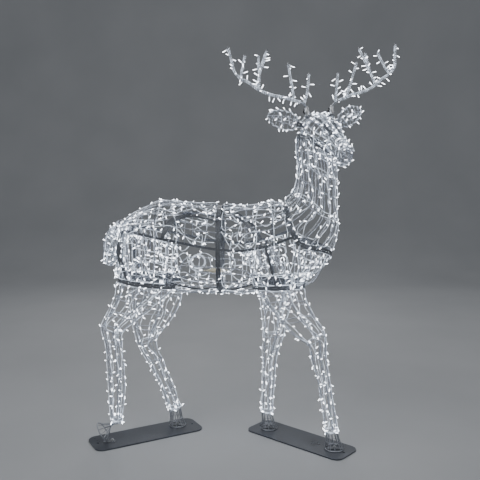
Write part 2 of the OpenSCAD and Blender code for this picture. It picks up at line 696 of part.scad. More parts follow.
// antler socket with a foot plate, a boss and a hole for the thumb screw
module socket(side) {
  socket_at(side) difference() {
    union() {
      cylinder(d = socket_od, h = socket_h);
      translate([-14, -9, -4]) cube([28, 18, 6]);
      thumb_axis() cylinder(d = 12, h = socket_od / 2 + 3);
    }
    lift(2) cylinder(r = bore_r, h = socket_h);
    thumb_axis() cylinder(r = thumb_r + 0.05, h = 30);
  }
}
module head_frame() {
  rings = head_rings;
  color(steel) at_home() {
    seam_end(collar, collar_seam, 1);
    // skull, cut back where the neck and its bolts stand
    difference() {
      skull();
      room_for(collar, -48, seam / 2 + 0.2);
      room_for(neck_rings[3], -45, 38);
      // block at the left of the collar
      translate([419, 77, 1339]) cube([29, 21, 27]);
      at_each(collar_seam) translate([tab_in - 8, -8, seam / 2 + 0.3]) cube([16, 16, 11]);
    }
    for (q = throat_rods)
      rod(ring_pt(collar, q[0]) + ring_axis(collar) * (seam_shift + 2),
        ring_pt(rings[q[1]], q[2]), wire_r);
    // nose grid
    for (side = [-1, 1])
      rod(ring_pt(rings[7], 30 * side), ring_pt(rings[7], 150 * side), wire_r * 0.9);
    for (side = [-1, 1]) {
      socket(side);
      for (q = socket_struts)
        rod(ring_pt(rings[q[0]], q[1] * side),
          crown_pt(side, antler_foot + [(q[0] - 2) * 5, 0, -3]), wire_r * 0.9);
      ear_bracket(side, -1);
      for (q = ear_struts)
        rod(ring_pt(rings[q[0]], q[1] * side),
          ear_root(side) - ear_dir(side) * 18 - ear_back(side) * 2.2, wire_r * 0.8);
    }
  }
}

// ---------- ears ----------
// the right ear is laid back 42 degrees from its root, the left one turned out to the side
function ear_dir(side) = side < 0
  ? unit(head_up * 0.36 - head_left * 0.743 - head_fwd * 0.669)
  : unit(head_up * 0.3 + head_left * 0.93 - head_fwd * 0.25);
function ear_up(side) =
  let(dir = ear_dir(side), v = head_up + head_fwd * 0.12) unit(v - dir * (v * dir));
function ear_root(side) = crown(-12, side * 84, 40);
// normal of the bracket plates, which is local Y in the ear's frame
function ear_back(side) = unit(cross(ear_dir(side), ear_up(side)));
module ear_frame_at(side) { basis(ear_root(side), ear_dir(side), ear_up(side)) children(); }
ear_screw_z = 6;
// bracket plate: end -1 is the head's, end 1 the ear's
module ear_bracket(side, end) {
  ear_frame_at(side) difference() {
    translate([-10, end < 0 ? -3.3 : 0.3, end < 0 ? -26 : -8]) cube([20, 3, end < 0 ? 40 : 28]);
    translate([0, -8, ear_screw_z]) rotate([-90, 0, 0]) cylinder(d = 4.6, h = 16);
  }
}
// half outline: distance from the root, half width
ear_half = [[8, 11], [40, 34], [80, 41], [118, 37], [148, 22], [166, 0]];
function ear_edge(i, m) = [m * ear_half[i][1], 0, ear_half[i][0]];
function ear_cup(i, m) = [m * ear_half[i][1] * 0.32, 9, ear_half[i][0]];
module ear(side) {
  color(steel) at_home() {
    ear_frame_at(side) translate([0, 4, 0]) {
      tip = len(ear_half) - 1;
      rod_path(concat([for (i = [0:tip]) ear_edge(i, 1)],
        [for (i = [tip - 1:-1:0]) ear_edge(i, -1)]), wire_r * 0.9);
      // cupped inner wires, welded to three cross ribs
      for (m = [-1, 1])
        rod_path(concat([[m * 7, 1.5, 10]], [for (i = [1:3]) ear_cup(i, m)]), wire_r * 0.8);
      for (i = [1:3])
        rod_path([ear_edge(i, 1), ear_cup(i, 1), ear_cup(i, -1), ear_edge(i, -1)],
          wire_r * 0.75);
    }
    ear_bracket(side, 1);
  }
}
module right_ear() { ear(-1); }
module left_ear() { ear(1); }
module ear_screws() {
  color(dark_steel) at_home() for (side = [-1, 1])
    ear_frame_at(side) lift(ear_screw_z) rotate([-90, 0, 0]) {
      lift(-6.35) cylinder(d = 8, h = 3);
      lift(-3.4) cylinder(d = 4, h = 9);
    }
}

// ---------- antlers ----------
// antler points: forward, outward, up in the crown frame
beam_points = [[8, 60, 112], [14, 76, 127], [20, 124, 145], [20, 155, 155], [22, 216, 169],
  [18, 280, 195], [17, 322, 226], [19, 356, 244], [19, 380, 268], [14, 388, 306],
  [8, 394, 342], [4, 401, 379]];
tines = [
  [beam_points[1], [34, 71, 155], [50, 69, 188], [72, 69, 250]],
  [beam_points[2], [34, 130, 168], [44, 138, 198], [74, 163, 295]],
  [beam_points[5], [8, 274, 228], [-3, 264, 264], [-8, 242, 315], [-10, 219, 366]],
  [beam_points[7], [4, 349, 262], [-8, 335, 300], [-19, 317, 349]]];
// branch of the third tine
fork = [tines[2][2], [-14, 262, 300], [-20, 256, 348]];
function crown_path(side, points) = [for (p = points) crown_pt(side, p)];
module antler(side) {
  color(steel) at_home() {
    socket_at(side) lift(2.5) cylinder(d = spigot_d, h = socket_h + 4);
    rod_path(crown_path(side, beam_points), 4);
    for (tine = tines) rod_path(crown_path(side, tine), 3.3);
    rod_path(crown_path(side, fork), 3);
  }
}
module right_antler() { antler(-1); }
module left_antler() { antler(1); }
module thumb_screw(side) {
  color(dark_steel) at_home() socket_at(side)
    thumb_axis(bore_r + 0.05) cylinder(r = thumb_r, h = 22);
}
module thumb_knob(side) {
  color(black) at_home() socket_at(side) thumb_axis(bore_r + 14) difference() {
    union() {
      cylinder(d = 11, h = 10);
      for (turn = [0, 180]) rotate([0, 0, turn]) translate([3, -1.75, 2]) cube([9, 3.5, 8]);
    }
    lift(-1) cylinder(r = thumb_r + 0.03, h = 20);
  }
}
module right_thumb_screw() { thumb_screw(-1); }
module left_thumb_screw() { thumb_screw(1); }
module right_thumb_knob() { thumb_knob(-1); }
module left_thumb_knob() { thumb_knob(1); }

// ---------- section fasteners ----------
all_leg_seams = [for (leg = [right_hind, left_hind, right_fore, left_fore])
  for (station = leg_seam(leg)) station];
module body_bolts() { color(dark_steel) at_home() seam_bolts(body_seam); }
module body_wing_nuts() { color(dark_steel) at_home() seam_wing_nuts(body_seam); }
module neck_bolts() { color(dark_steel) at_home() seam_bolts(neck_seam); }
module neck_wing_nuts() { color(dark_steel) at_home() seam_wing_nuts(neck_seam); }
module leg_bolts() { color(dark_steel) at_home() seam_bolts(all_leg_seams); }
module leg_wing_nuts() { color(dark_steel) at_home() seam_wing_nuts(all_leg_seams); }
module collar_bolts() { color(dark_steel) at_home() seam_bolts(collar_seam); }
module collar_wing_nuts() { color(dark_steel) at_home() seam_wing_nuts(collar_seam); }

// ---------- LED strings ----------
// cable through points, with an LED stick along outs at every so many of them
module light_string(points, outs, every = 2) {
  lap = 0.4;
  color(clear_white) at_home() {
    for (i = [0:len(points) - 2]) {
      dir = unit(points[i + 1] - points[i]);
      rod(points[i] - dir * lap, points[i + 1] + dir * lap, cable_d / 2);
    }
    for (i = [1:every:len(points) - 2])
      basis(points[i], outs[i], side_of(outs[i])) cylinder(d = led_d, h = led_l, $fn = 6);
  }
}
// [ring, angle] steps there and back over the rings, one pass for each angle
function weave(rings, angles) = let(last = len(rings) - 1)
  [for (k = [0:len(angles) - 1], i = [0:last]) [rings[k % 2 == 0 ? i : last - i], angles[k]]];
// the rings with the first and last moved inwards by trim ring places
function shrink(rings, trim) = let(last = len(rings) - 1) [for (i = [0:last])
  i == 0 ? ring_mix(rings, trim) : i == last ? ring_mix(rings, last - trim) : rings[i]];
module section_lights(rings, angles, off, trim) {
  steps = weave(shrink(rings, trim), angles);
  light_string([for (q = steps) ring_pt(q[0], q[1], off)],
    [for (q = steps) ring_out(q[0], q[1])]);
}
module rear_body_lights() {
  section_lights(rear_rings, [-72, -36, 0, 36, 72], off = 13, trim = 0.5);
}
module front_body_lights() { section_lights(front_rings, [-78, -11, 56], off = 13, trim = 0.3); }
module neck_lights() { section_lights(neck_rings, [62, 180, 298], off = 12.5, trim = 0.27); }
module head_lights() {
  muzzle = [for (place = [4.5, 5, 6, 6.6]) ring_mix(head_rings, place)];
  section_lights(muzzle, [60, 180, 308], off = 9, trim = 0);
}
module tail_lights() { section_lights(tail_rings, [252, 108], off = 7, trim = 0.4); }
module leg_lights(leg) { section_lights(leg, [36, 252], off = cable_off + 2, trim = 0.35); }
module right_hind_leg_lights() { leg_lights(right_hind); }
module left_hind_leg_lights() { leg_lights(left_hind); }
module right_fore_leg_lights() { leg_lights(right_fore); }
module left_fore_leg_lights() { leg_lights(left_fore); }
// cable wound round the antler beam
module antler_lights(side) {
  steps = 24;
  step_turn = 75;
  start_turn = side < 0 ? 70 : 0;
  wind_r = 10.5;
  beam = crown_path(side, beam_points);
  places = [for (i = [0:steps]) 1.6 + i * (len(beam) - 3.2) / steps];
  outs = [for (i = [0:steps])
    let(dir = unit(along(beam, places[i] + 0.2) - along(beam, places[i] - 0.2)),
      a = cross(dir, head_fwd), b = cross(dir, a), turn = i * step_turn + start_turn)
    unit(a) * cos(turn) + unit(b) * sin(turn)];
  light_string([for (i = [0:steps]) along(beam, places[i]) + outs[i] * wind_r], outs, every = 3);
}
module right_antler_lights() { antler_lights(-1); }
module left_antler_lights() { antler_lights(1); }

// ---------- supply ----------
// spare cable tied up in a ring inside the right flank, and the screw-collar coupler by it
coil_at = [-88, -128, 842];
coupler_at = [-10, -104, 800];
module spare_cable_coil() {
  color(clear_white) at_home() translate(coil_at) rotate([90, 0, 12])
    for (k = [-1:1]) lift(k * 4.2)
      rotate_extrude($fn = 72) translate([30 + k, 0]) circle(d = 4, $fn = 24);
}
module on_coupler() { translate(coupler_at) rotate([0, 90, 0]) children(); }
// round steps: start z, height, start diameter, end diameter
module turned(steps) {
  for (q = steps) lift(q[0]) cylinder(d1 = q[2], d2 = q[3], h = q[1]);
}
module power_socket() {
  color(cream) at_home() on_coupler() difference() {
    union() turned([[0, 30, 16, 16], [-16, 17, 12.6, 12.6], [30, 12, 14, 7], [36, 20, 5, 5]]);
    turned([[-17, 24, 9, 9]]);
  }
}
module power_plug() {
  color(cream) at_home() on_coupler() {
    turned([[-14, 18, 8.6, 8.6], [-30, 13.4, 14, 14], [-17, 4, 8.6, 8.6],
      [-42, 12.1, 7, 13], [-60, 20, 5, 5]]);
    // two pins
    for (x = [-1.8, 1.8]) translate([x, 0, 3.5]) cylinder(d = 1.6, h = 2.5);
  }
}
module power_collar() {
  color(cream) at_home() on_coupler() difference() {
    union() {
      turned([[-20, 18, 19, 19]]);
      // grip ribs
      for (a = [0:30:330]) rotate([0, 0, a]) translate([9.2, 0, -19]) cylinder(d = 2, h = 16);
    }
    turned([[-16.5, 20, 12.8, 12.8], [-21, 5, 14.2, 14.2]]);
  }
}

rear_base_plate();
front_base_plate();
hoof_screws();
hoof_nuts();
right_hind_leg();
left_hind_leg();
right_fore_leg();
left_fore_leg();
rear_body_frame();
front_body_frame();
neck_frame();
head_frame();
tail_frame();
right_ear();
left_ear();
right_antler();
left_antler();
right_thumb_screw();
left_thumb_screw();
right_thumb_knob();
left_thumb_knob();
body_bolts();
body_wing_nuts();
neck_bolts();
neck_wing_nuts();
leg_bolts();
leg_wing_nuts();
collar_bolts();
collar_wing_nuts();
tail_bolts();
tail_wing_nuts();
ear_screws();
rear_body_lights();
front_body_lights();
neck_lights();
head_lights();
tail_lights();
right_hind_leg_lights();
left_hind_leg_lights();
right_fore_leg_lights();
left_fore_leg_lights();
right_antler_lights();
left_antler_lights();
spare_cable_coil();
power_socket();
power_plug();
power_collar();
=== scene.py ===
# Light-up yard reindeer: welded rods and dark flat bars strung with clear cable and lit
# stick lamps. Lengths are in millimetres; placed() moves them to the stage in metres.
# The deer faces +x with its left side at +y and stands on z = 0; its head looks towards -y.
import itertools
import json
import math

import bpy
import numpy as np
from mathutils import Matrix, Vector

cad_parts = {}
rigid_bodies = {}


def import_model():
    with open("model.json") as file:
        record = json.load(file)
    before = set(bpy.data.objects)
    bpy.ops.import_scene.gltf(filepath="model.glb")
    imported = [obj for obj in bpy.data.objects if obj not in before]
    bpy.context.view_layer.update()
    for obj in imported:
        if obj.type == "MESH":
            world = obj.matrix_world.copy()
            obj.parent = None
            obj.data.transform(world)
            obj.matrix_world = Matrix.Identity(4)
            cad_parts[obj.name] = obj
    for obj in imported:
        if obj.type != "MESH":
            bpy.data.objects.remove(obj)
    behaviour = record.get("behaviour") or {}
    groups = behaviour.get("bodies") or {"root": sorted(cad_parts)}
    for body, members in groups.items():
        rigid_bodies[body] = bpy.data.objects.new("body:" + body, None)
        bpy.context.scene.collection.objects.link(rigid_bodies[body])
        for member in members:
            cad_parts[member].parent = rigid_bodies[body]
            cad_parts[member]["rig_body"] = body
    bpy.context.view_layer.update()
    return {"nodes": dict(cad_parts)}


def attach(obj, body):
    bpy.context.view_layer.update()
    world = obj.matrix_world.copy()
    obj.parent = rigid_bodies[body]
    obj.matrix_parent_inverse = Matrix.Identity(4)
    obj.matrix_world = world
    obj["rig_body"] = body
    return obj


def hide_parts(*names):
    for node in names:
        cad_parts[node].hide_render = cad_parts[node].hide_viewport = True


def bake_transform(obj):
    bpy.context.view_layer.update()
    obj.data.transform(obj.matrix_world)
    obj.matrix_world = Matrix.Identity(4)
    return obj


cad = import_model()


def vec(*parts):
    return np.array(parts, float)


HOME = vec(351, -10, 0)  # the deer's origin on the stage
X_AXIS, Z_AXIS = vec(1, 0, 0), vec(0, 0, 1)

# frame stock: rod radii, flat bar section, and the gap between bolted bars
ROD, WIRE, LIGHT, THIN = 2.75, 2.25, 2.0, 1.7
BAR_W, BAR_T, GAP = 10.0, 3.0, 0.6
BAR_SHIFT = (BAR_W + GAP) / 2  # from a joint's plane to the middle of either bar

# material slots of a frame mesh
RODS, BARS, THIRD = 0, 1, 2


def placed(points):
    return (points + HOME) / 1000.0


def unit(v):
    return v / np.maximum(np.linalg.norm(v, axis=-1, keepdims=True), 1e-9)


def cosd(angle):
    return np.cos(np.radians(angle))


def sind(angle):
    return np.sin(np.radians(angle))


def turn(count):
    """Evenly spaced angles of a full turn, the last one left open."""
    return np.arange(count) * 360 / count


# ---------------------------------------------------------------- curves
def smooth(points, steps=8):
    """Cubic through points along axis 0, with tangents weighted by chord length."""
    points = np.asarray(points, float)
    leap = np.diff(points, axis=0)
    chord = np.maximum(np.linalg.norm(leap, axis=-1, keepdims=True), 1e-6)
    slope = leap / chord
    tangent = np.empty_like(points)
    tangent[0], tangent[-1] = slope[0], slope[-1]
    tangent[1:-1] = (slope[1:] * chord[:-1] + slope[:-1] * chord[1:]) / (chord[1:] + chord[:-1])
    t = (np.arange(steps) / steps).reshape([1, steps] + [1] * (points.ndim - 1))
    start, end = points[:-1, None], points[1:, None]
    leave, arrive = tangent[:-1, None], tangent[1:, None]
    curve = ((2 * t**3 - 3 * t**2 + 1) * start + (t**3 - 2 * t**2 + t) * chord[:, None] * leave
             + (3 * t**2 - 2 * t**3) * end + (t**3 - t**2) * chord[:, None] * arrive)
    return np.concatenate([curve.reshape((-1,) + points.shape[1:]), points[-1:]])


def arc_lengths(path):
    return np.r_[0, np.cumsum(np.linalg.norm(np.diff(path, axis=0), axis=1))]


def interp_rows(wanted, knots, rows):
    return np.stack([np.interp(wanted, knots, column) for column in rows.T], 1)


def resample(path, step):
    length = arc_lengths(path)
    count = max(2, int(length[-1] / step) + 1)
    return interp_rows(np.linspace(0, length[-1], count), length, path)


def bowed(start, end, bulge):
    """Start, middle pushed out by bulge, and end."""
    return [start, (start + end) / 2 + bulge, end]


def tangents(path, closed=False):
    if closed:
        return unit(np.roll(path, -1, 0) - np.roll(path, 1, 0))
    return unit(np.gradient(path, axis=0))


def crosswise(direction):
    return np.cross(direction, Z_AXIS if abs(direction[2]) < 0.9 else X_AXIS)


def carried(directions, normal):
    """Normals carried along a path without twist from a first normal."""
    normals = np.empty_like(directions)
    for i, direction in enumerate(directions):
        normal = normal - direction * (normal @ direction)
        normal = normal / math.sqrt(max(normal @ normal, 1e-12))
        normals[i] = normal
    return normals


# ---------------------------------------------------------------- rings
# A ring is four vectors: its centre and its half axes at 0, 90 and 180 degrees.
def ring_frame(ring, angles):
    """Points of a ring and its outward directions there."""
    centre, axis_0, axis_90, axis_180 = ring
    angles = np.atleast_1d(angles)
    cosine, sine = cosd(angles)[:, None], sind(angles)[:, None]
    axis = np.where(cosine >= 0, axis_0, -axis_180)
    ratio = np.linalg.norm(axis_90) / np.linalg.norm(axis, axis=1, keepdims=True)
    out = unit(axis * cosine * ratio + axis_90 * sine / ratio)
    return centre + axis * cosine + axis_90 * sine, out


def ring_at(ring, angles, offset=0.0):
    points, out = ring_frame(ring, angles)
    return points + out * offset


def ring_point(ring, angle):
    return ring_at(ring, angle)[0]


def ring_out(ring, angles):
    return ring_frame(ring, angles)[1]


def ring_axis(ring):
    """Normal of a ring's plane, pointing up."""
    normal = unit(np.cross(ring[1], ring[2]))
    return normal if normal[2] > 0 else -normal


def upper_band(ring, angles):
    """Points on the upper bar of a joint."""
    return ring_at(ring, angles) + ring_axis(ring) * BAR_SHIFT


def ring_seam(ring, angles, axis=None):
    """Bolt tab places on a ring: point, joint axis, inward direction."""
    axis = ring_axis(ring) if axis is None else axis
    return [(ring_point(ring, a), axis, -ring_out(ring, a)[0]) for a in angles]


# ---------------------------------------------------------------- skins
ANGLES = np.linspace(-180, 180, 73)


class Skin:
    """A surface through rows of points, looked up by row number and column value.

    It closes on itself unless outward, the rough direction an open skin faces, is given.
    """

    STEPS = 12

    def __init__(self, rows, columns=ANGLES, outward=None):
        self.columns, self.closed = columns, outward is None
        self.points = smooth(rows, self.STEPS)
        along = np.gradient(self.points, axis=0)
        if self.closed:
            points = self.points
            wrapped = np.concatenate([points[:, -2:-1], points, points[:, 1:2]], 1)
            around = (wrapped[:, 2:] - wrapped[:, :-2]) / 2
            outward = points - points[:, :-1].mean(1, keepdims=True)
        else:
            around = np.gradient(self.points, axis=1)
        normals = unit(np.cross(along, around))
        self.normals = normals * np.sign((normals * outward).sum(-1).mean())

    def _look(self, grid, row, column):
        row, column = np.broadcast_arrays(*np.atleast_1d(row, column))
        first, last = self.columns[0], self.columns[-1]
        height, width = grid.shape[:2]
        if self.closed:
            column = (column - first) % 360 + first
        x = np.clip(row * self.STEPS, 0, height - 1.0001)
        y = np.clip((column - first) / (last - first) * (width - 1), 0, width - 1.0001)
        i, j = x.astype(int), y.astype(int)
        x, y = (x - i)[:, None], (y - j)[:, None]
        near = grid[i, j] * (1 - x) + grid[i + 1, j] * x
        far = grid[i, j + 1] * (1 - x) + grid[i + 1, j + 1] * x
        return near * (1 - y) + far * y

    def out(self, row, column):
        return unit(self._look(self.normals, row, column))

    def at(self, row, column, offset=0.0):
        lift = self.out(row, column) * np.reshape(offset, (-1, 1))
        return self._look(self.points, row, column) + lift

    def point(self, row, column):
        return self.at(row, column)[0]


def ring_skin(rings):
    return Skin([ring_at(ring, ANGLES) for ring in rings])


# ---------------------------------------------------------------- stations
BARREL = 166.0  # half width of the barrel


def body_ring(x, top, widest, bottom, width):
    """Upright ring; 0 degrees is its top and 90 the deer's left."""
    return np.array([[x, 0, widest], [0, 0, top - widest],
                     [0, width * BARREL, 0], [0, 0, bottom - widest]], float)


# x, z of the top, of the widest point and of the bottom, half width over BARREL
REAR = [body_ring(*row) for row in [
    [-BAR_SHIFT, 1081, 899, 684, 0.99], [-95, 1088, 914, 684, 1], [-190, 1094, 934, 686, 1.01],
    [-275, 1096, 950, 705, 1], [-350, 1064, 966, 725, 0.92], [-405, 1032, 974, 740, 0.82],
    [-432, 1008, 970, 750, 0.74]]]
FRONT = [body_ring(*row) for row in [
    [BAR_SHIFT, 1081, 899, 684, 0.99], [85, 1076, 894, 684, 1],
    [165, 1082, 904, 696, 1.03], [236, 1093, 922, 708, 1.04]]]
BODY_SEAM = ring_seam(body_ring(0, 1081, 899, 684, 0.99), (40, 140, 220, 320), X_AXIS)

# joint of neck and front body, left half: angle from the top, x, y, z
NECK_JOINT = vec(
    [0, 293, 0, 1098], [30, 294, 84, 1080], [60, 302, 140, 1032], [84, 318, 166, 972],
    [98, 340, 170, 932], [112, 372, 164, 914], [128, 412, 146, 904], [146, 456, 112, 893],
    [164, 490, 62, 877], [180, 504, 0, 864])


def seam_at(angles):
    """Points of the neck joint; negative angles are on the right."""
    angles = (np.atleast_1d(angles) + 180) % 360 - 180
    points = interp_rows(np.abs(angles), NECK_JOINT[:, 0], NECK_JOINT[:, 1:])
    points[:, 1] *= np.where(angles < 0, -1, 1)
    return points


def seam_along(angles):
    return unit(seam_at(angles + 6) - seam_at(angles - 6))


def seam_out(angles):
    point, along = seam_at(angles), seam_along(angles)
    x, y, z = point.T
    out = np.stack([np.maximum(0, x - 380) * 1.1, y, (z - 950) * np.where(z > 950, 1, 0.15)], 1)
    return unit(out - along * (out * along).sum(1, keepdims=True))


def seam_across(angles):
    """Direction through the neck joint, towards the neck."""
    across = np.cross(seam_along(angles), seam_out(angles))
    return across * np.where(across @ vec(0.9, 0, 0.45) > 0, 1, -1)[:, None]


NECK_SEAM = [(seam_at(a)[0], seam_across(a)[0], -seam_out(a)[0]) for a in (-142, -48, 48, 142)]


def span_ring(at_0, at_180, y, half_width):
    """Ring spanning two (x, z) points; 90 degrees is the deer's left."""
    start, end = vec(at_0[0], 0, at_0[1]), vec(at_180[0], 0, at_180[1])
    half = (start - end) / 2
    return np.array([(start + end) / 2 + vec(0, y, 0), half, [0, half_width, 0], -half])


def leg_rings(rows):
    """Rows: x, z of the rear, x, z of the front, y, half width; 0 degrees is the front."""
    return [span_ring(row[2:4], row[:2], *row[4:]) for row in rows]


def spine_rings(rows):
    """Rows: x, z at 0 degrees (the back), x, z at 180 degrees, half width."""
    return [span_ring(row[:2], row[2:4], 0, row[4]) for row in rows]


# legs by side: -1 is the right one and 1 the left
HIND = {
    -1: leg_rings([
        [-445, 757, -195, 729, -105, 62], [-462, 680, -282, 645, -105, 55],
        [-494, 607, -366, 580, -102, 44], [-525, 549, -437, 507, -97, 36],
        [-511, 478, -437, 458, -94, 31], [-500, 320, -430, 316, -92, 29],
        [-492, 104, -446, 98, -90, 24]]),
    1: leg_rings([
        [-445, 757, -195, 729, 105, 62], [-443, 665, -194, 650, 106, 58],
        [-433, 575, -232, 556, 108, 50], [-422, 492, -280, 484, 110, 42],
        [-402, 412, -319, 434, 112, 36], [-350, 315, -291, 338, 114, 31],
        [-285, 175, -236, 190, 116, 26], [-257, 84, -203, 92, 116, 24]])}
FORE = {
    -1: leg_rings([
        [149, 731, 376, 736, -108, 60], [204, 650, 388, 662, -112, 54],
        [268, 572, 420, 598, -117, 46], [334, 506, 448, 558, -122, 40],
        [389, 474, 466, 518, -125, 36], [408, 412, 470, 428, -127, 31],
        [447, 258, 496, 266, -131, 26], [474, 80, 527, 84, -133, 24]]),
    1: leg_rings([
        [149, 731, 376, 736, 108, 60], [176, 655, 348, 658, 108, 54],
        [192, 586, 320, 588, 106, 46], [196, 520, 302, 523, 104, 40],
        [196, 456, 292, 460, 102, 36], [197, 400, 267, 398, 100, 31],
        [196, 250, 249, 250, 96, 26], [192, 82, 241, 82, 94, 24]])}

NECK = spine_rings([
    [322, 1130, 527, 985, 138], [350, 1205, 520, 1108, 104], [350, 1270, 520, 1192, 84],
    [343, 1338, 512, 1268, 72], [346, 1392, 486, 1340, 66]])
COLLAR = NECK[-1]
COLLAR_TABS = (60, 180, 300)
TAIL = spine_rings([
    [-455, 1012, -451, 958, 20], [-478, 995, -455, 938, 27], [-504, 973, -464, 910, 32],
    [-526, 934, -470, 890, 35], [-534, 878, -478, 846, 33], [-535, 820, -498, 804, 22]])

# the head's own axes: turned to the deer's right, its left side raised
HEAD_CENTRE = vec(445, 0, 1405)
HEAD_TURN, HEAD_TILT, FACE_DROP = -70, 4.5, 11
FWD = vec(cosd(HEAD_TURN), sind(HEAD_TURN), 0)
LEVEL_LEFT = vec(-sind(HEAD_TURN), cosd(HEAD_TURN), 0)
LEFT = LEVEL_LEFT * cosd(HEAD_TILT) + Z_AXIS * sind(HEAD_TILT)
UP = Z_AXIS * cosd(HEAD_TILT) - LEVEL_LEFT * sind(HEAD_TILT)


def crown(forward, left, up):
    """Point in the head's axes."""
    return HEAD_CENTRE + FWD * forward + LEFT * left + UP * up


def face(forward, left, up):
    """Point in the head's axes pitched down by FACE_DROP."""
    cosine, sine = cosd(FACE_DROP), sind(FACE_DROP)
    return crown(forward * cosine + up * sine, left, up * cosine - forward * sine)


def head_ring(forward, top, middle, bottom, half_width):
    centre = face(forward, 0, middle)
    rim = [face(forward, 0, top), face(forward, half_width, middle), face(forward, 0, bottom)]
    return np.array([centre, *(np.array(rim) - centre)])


# forward, height of the top, middle and bottom, half width
HEAD = [head_ring(*row) for row in [
    [-78, 38, -15, -66, 48], [-48, 66, 0, -92, 70], [0, 76, 4, -104, 79],
    [55, 68, -4, -108, 74], [110, 43, -24, -106, 58], [170, 14, -42, -108, 46],
    [222, -6, -52, -106, 42], [255, -28, -58, -92, 31]]]

# antlers in the head's axes: forward, outward, up
BEAM = [[8, 60, 76], [8, 60, 112], [14, 76, 127], [20, 124, 145], [20, 155, 155], [22, 216, 169],
        [18, 280, 195], [17, 322, 226], [19, 356, 244], [19, 380, 268], [14, 388, 306],
        [8, 394, 342], [4, 401, 379]]
# each tine: the BEAM point it grows from, then its own points
TINES = [
    [2, [[34, 71, 155], [50, 69, 188], [72, 69, 250]]],
    [3, [[34, 130, 168], [44, 138, 198], [74, 163, 295]]],
    [6, [[8, 274, 228], [-3, 264, 264], [-8, 242, 315], [-10, 219, 366]]],
    [8, [[4, 349, 262], [-8, 335, 300], [-19, 317, 349]]]]
FORK = [TINES[2][1][1], [-14, 262, 300], [-20, 256, 348]]


# ---------------------------------------------------------------- mesh building
def grid_quads(rows, sides, closed=False):
    """Quads between rows of points, each row a loop of sides points."""
    i = np.arange(rows if closed else rows - 1)[:, None]
    j = np.arange(sides)[None]
    here, there, after = i * sides, (i + 1) % rows * sides, (j + 1) % sides
    return np.stack([here + j, here + after, there + after, there + j], -1).reshape(-1, 4)


def chamfered(x, y, cut):
    """Rectangle of half sizes x and y with cut corners."""
    return np.array([[x, cut - y], [x, y - cut], [x - cut, y], [cut - x, y],
                     [-x, y - cut], [-x, cut - y], [cut - x, -y], [x - cut, -y]])


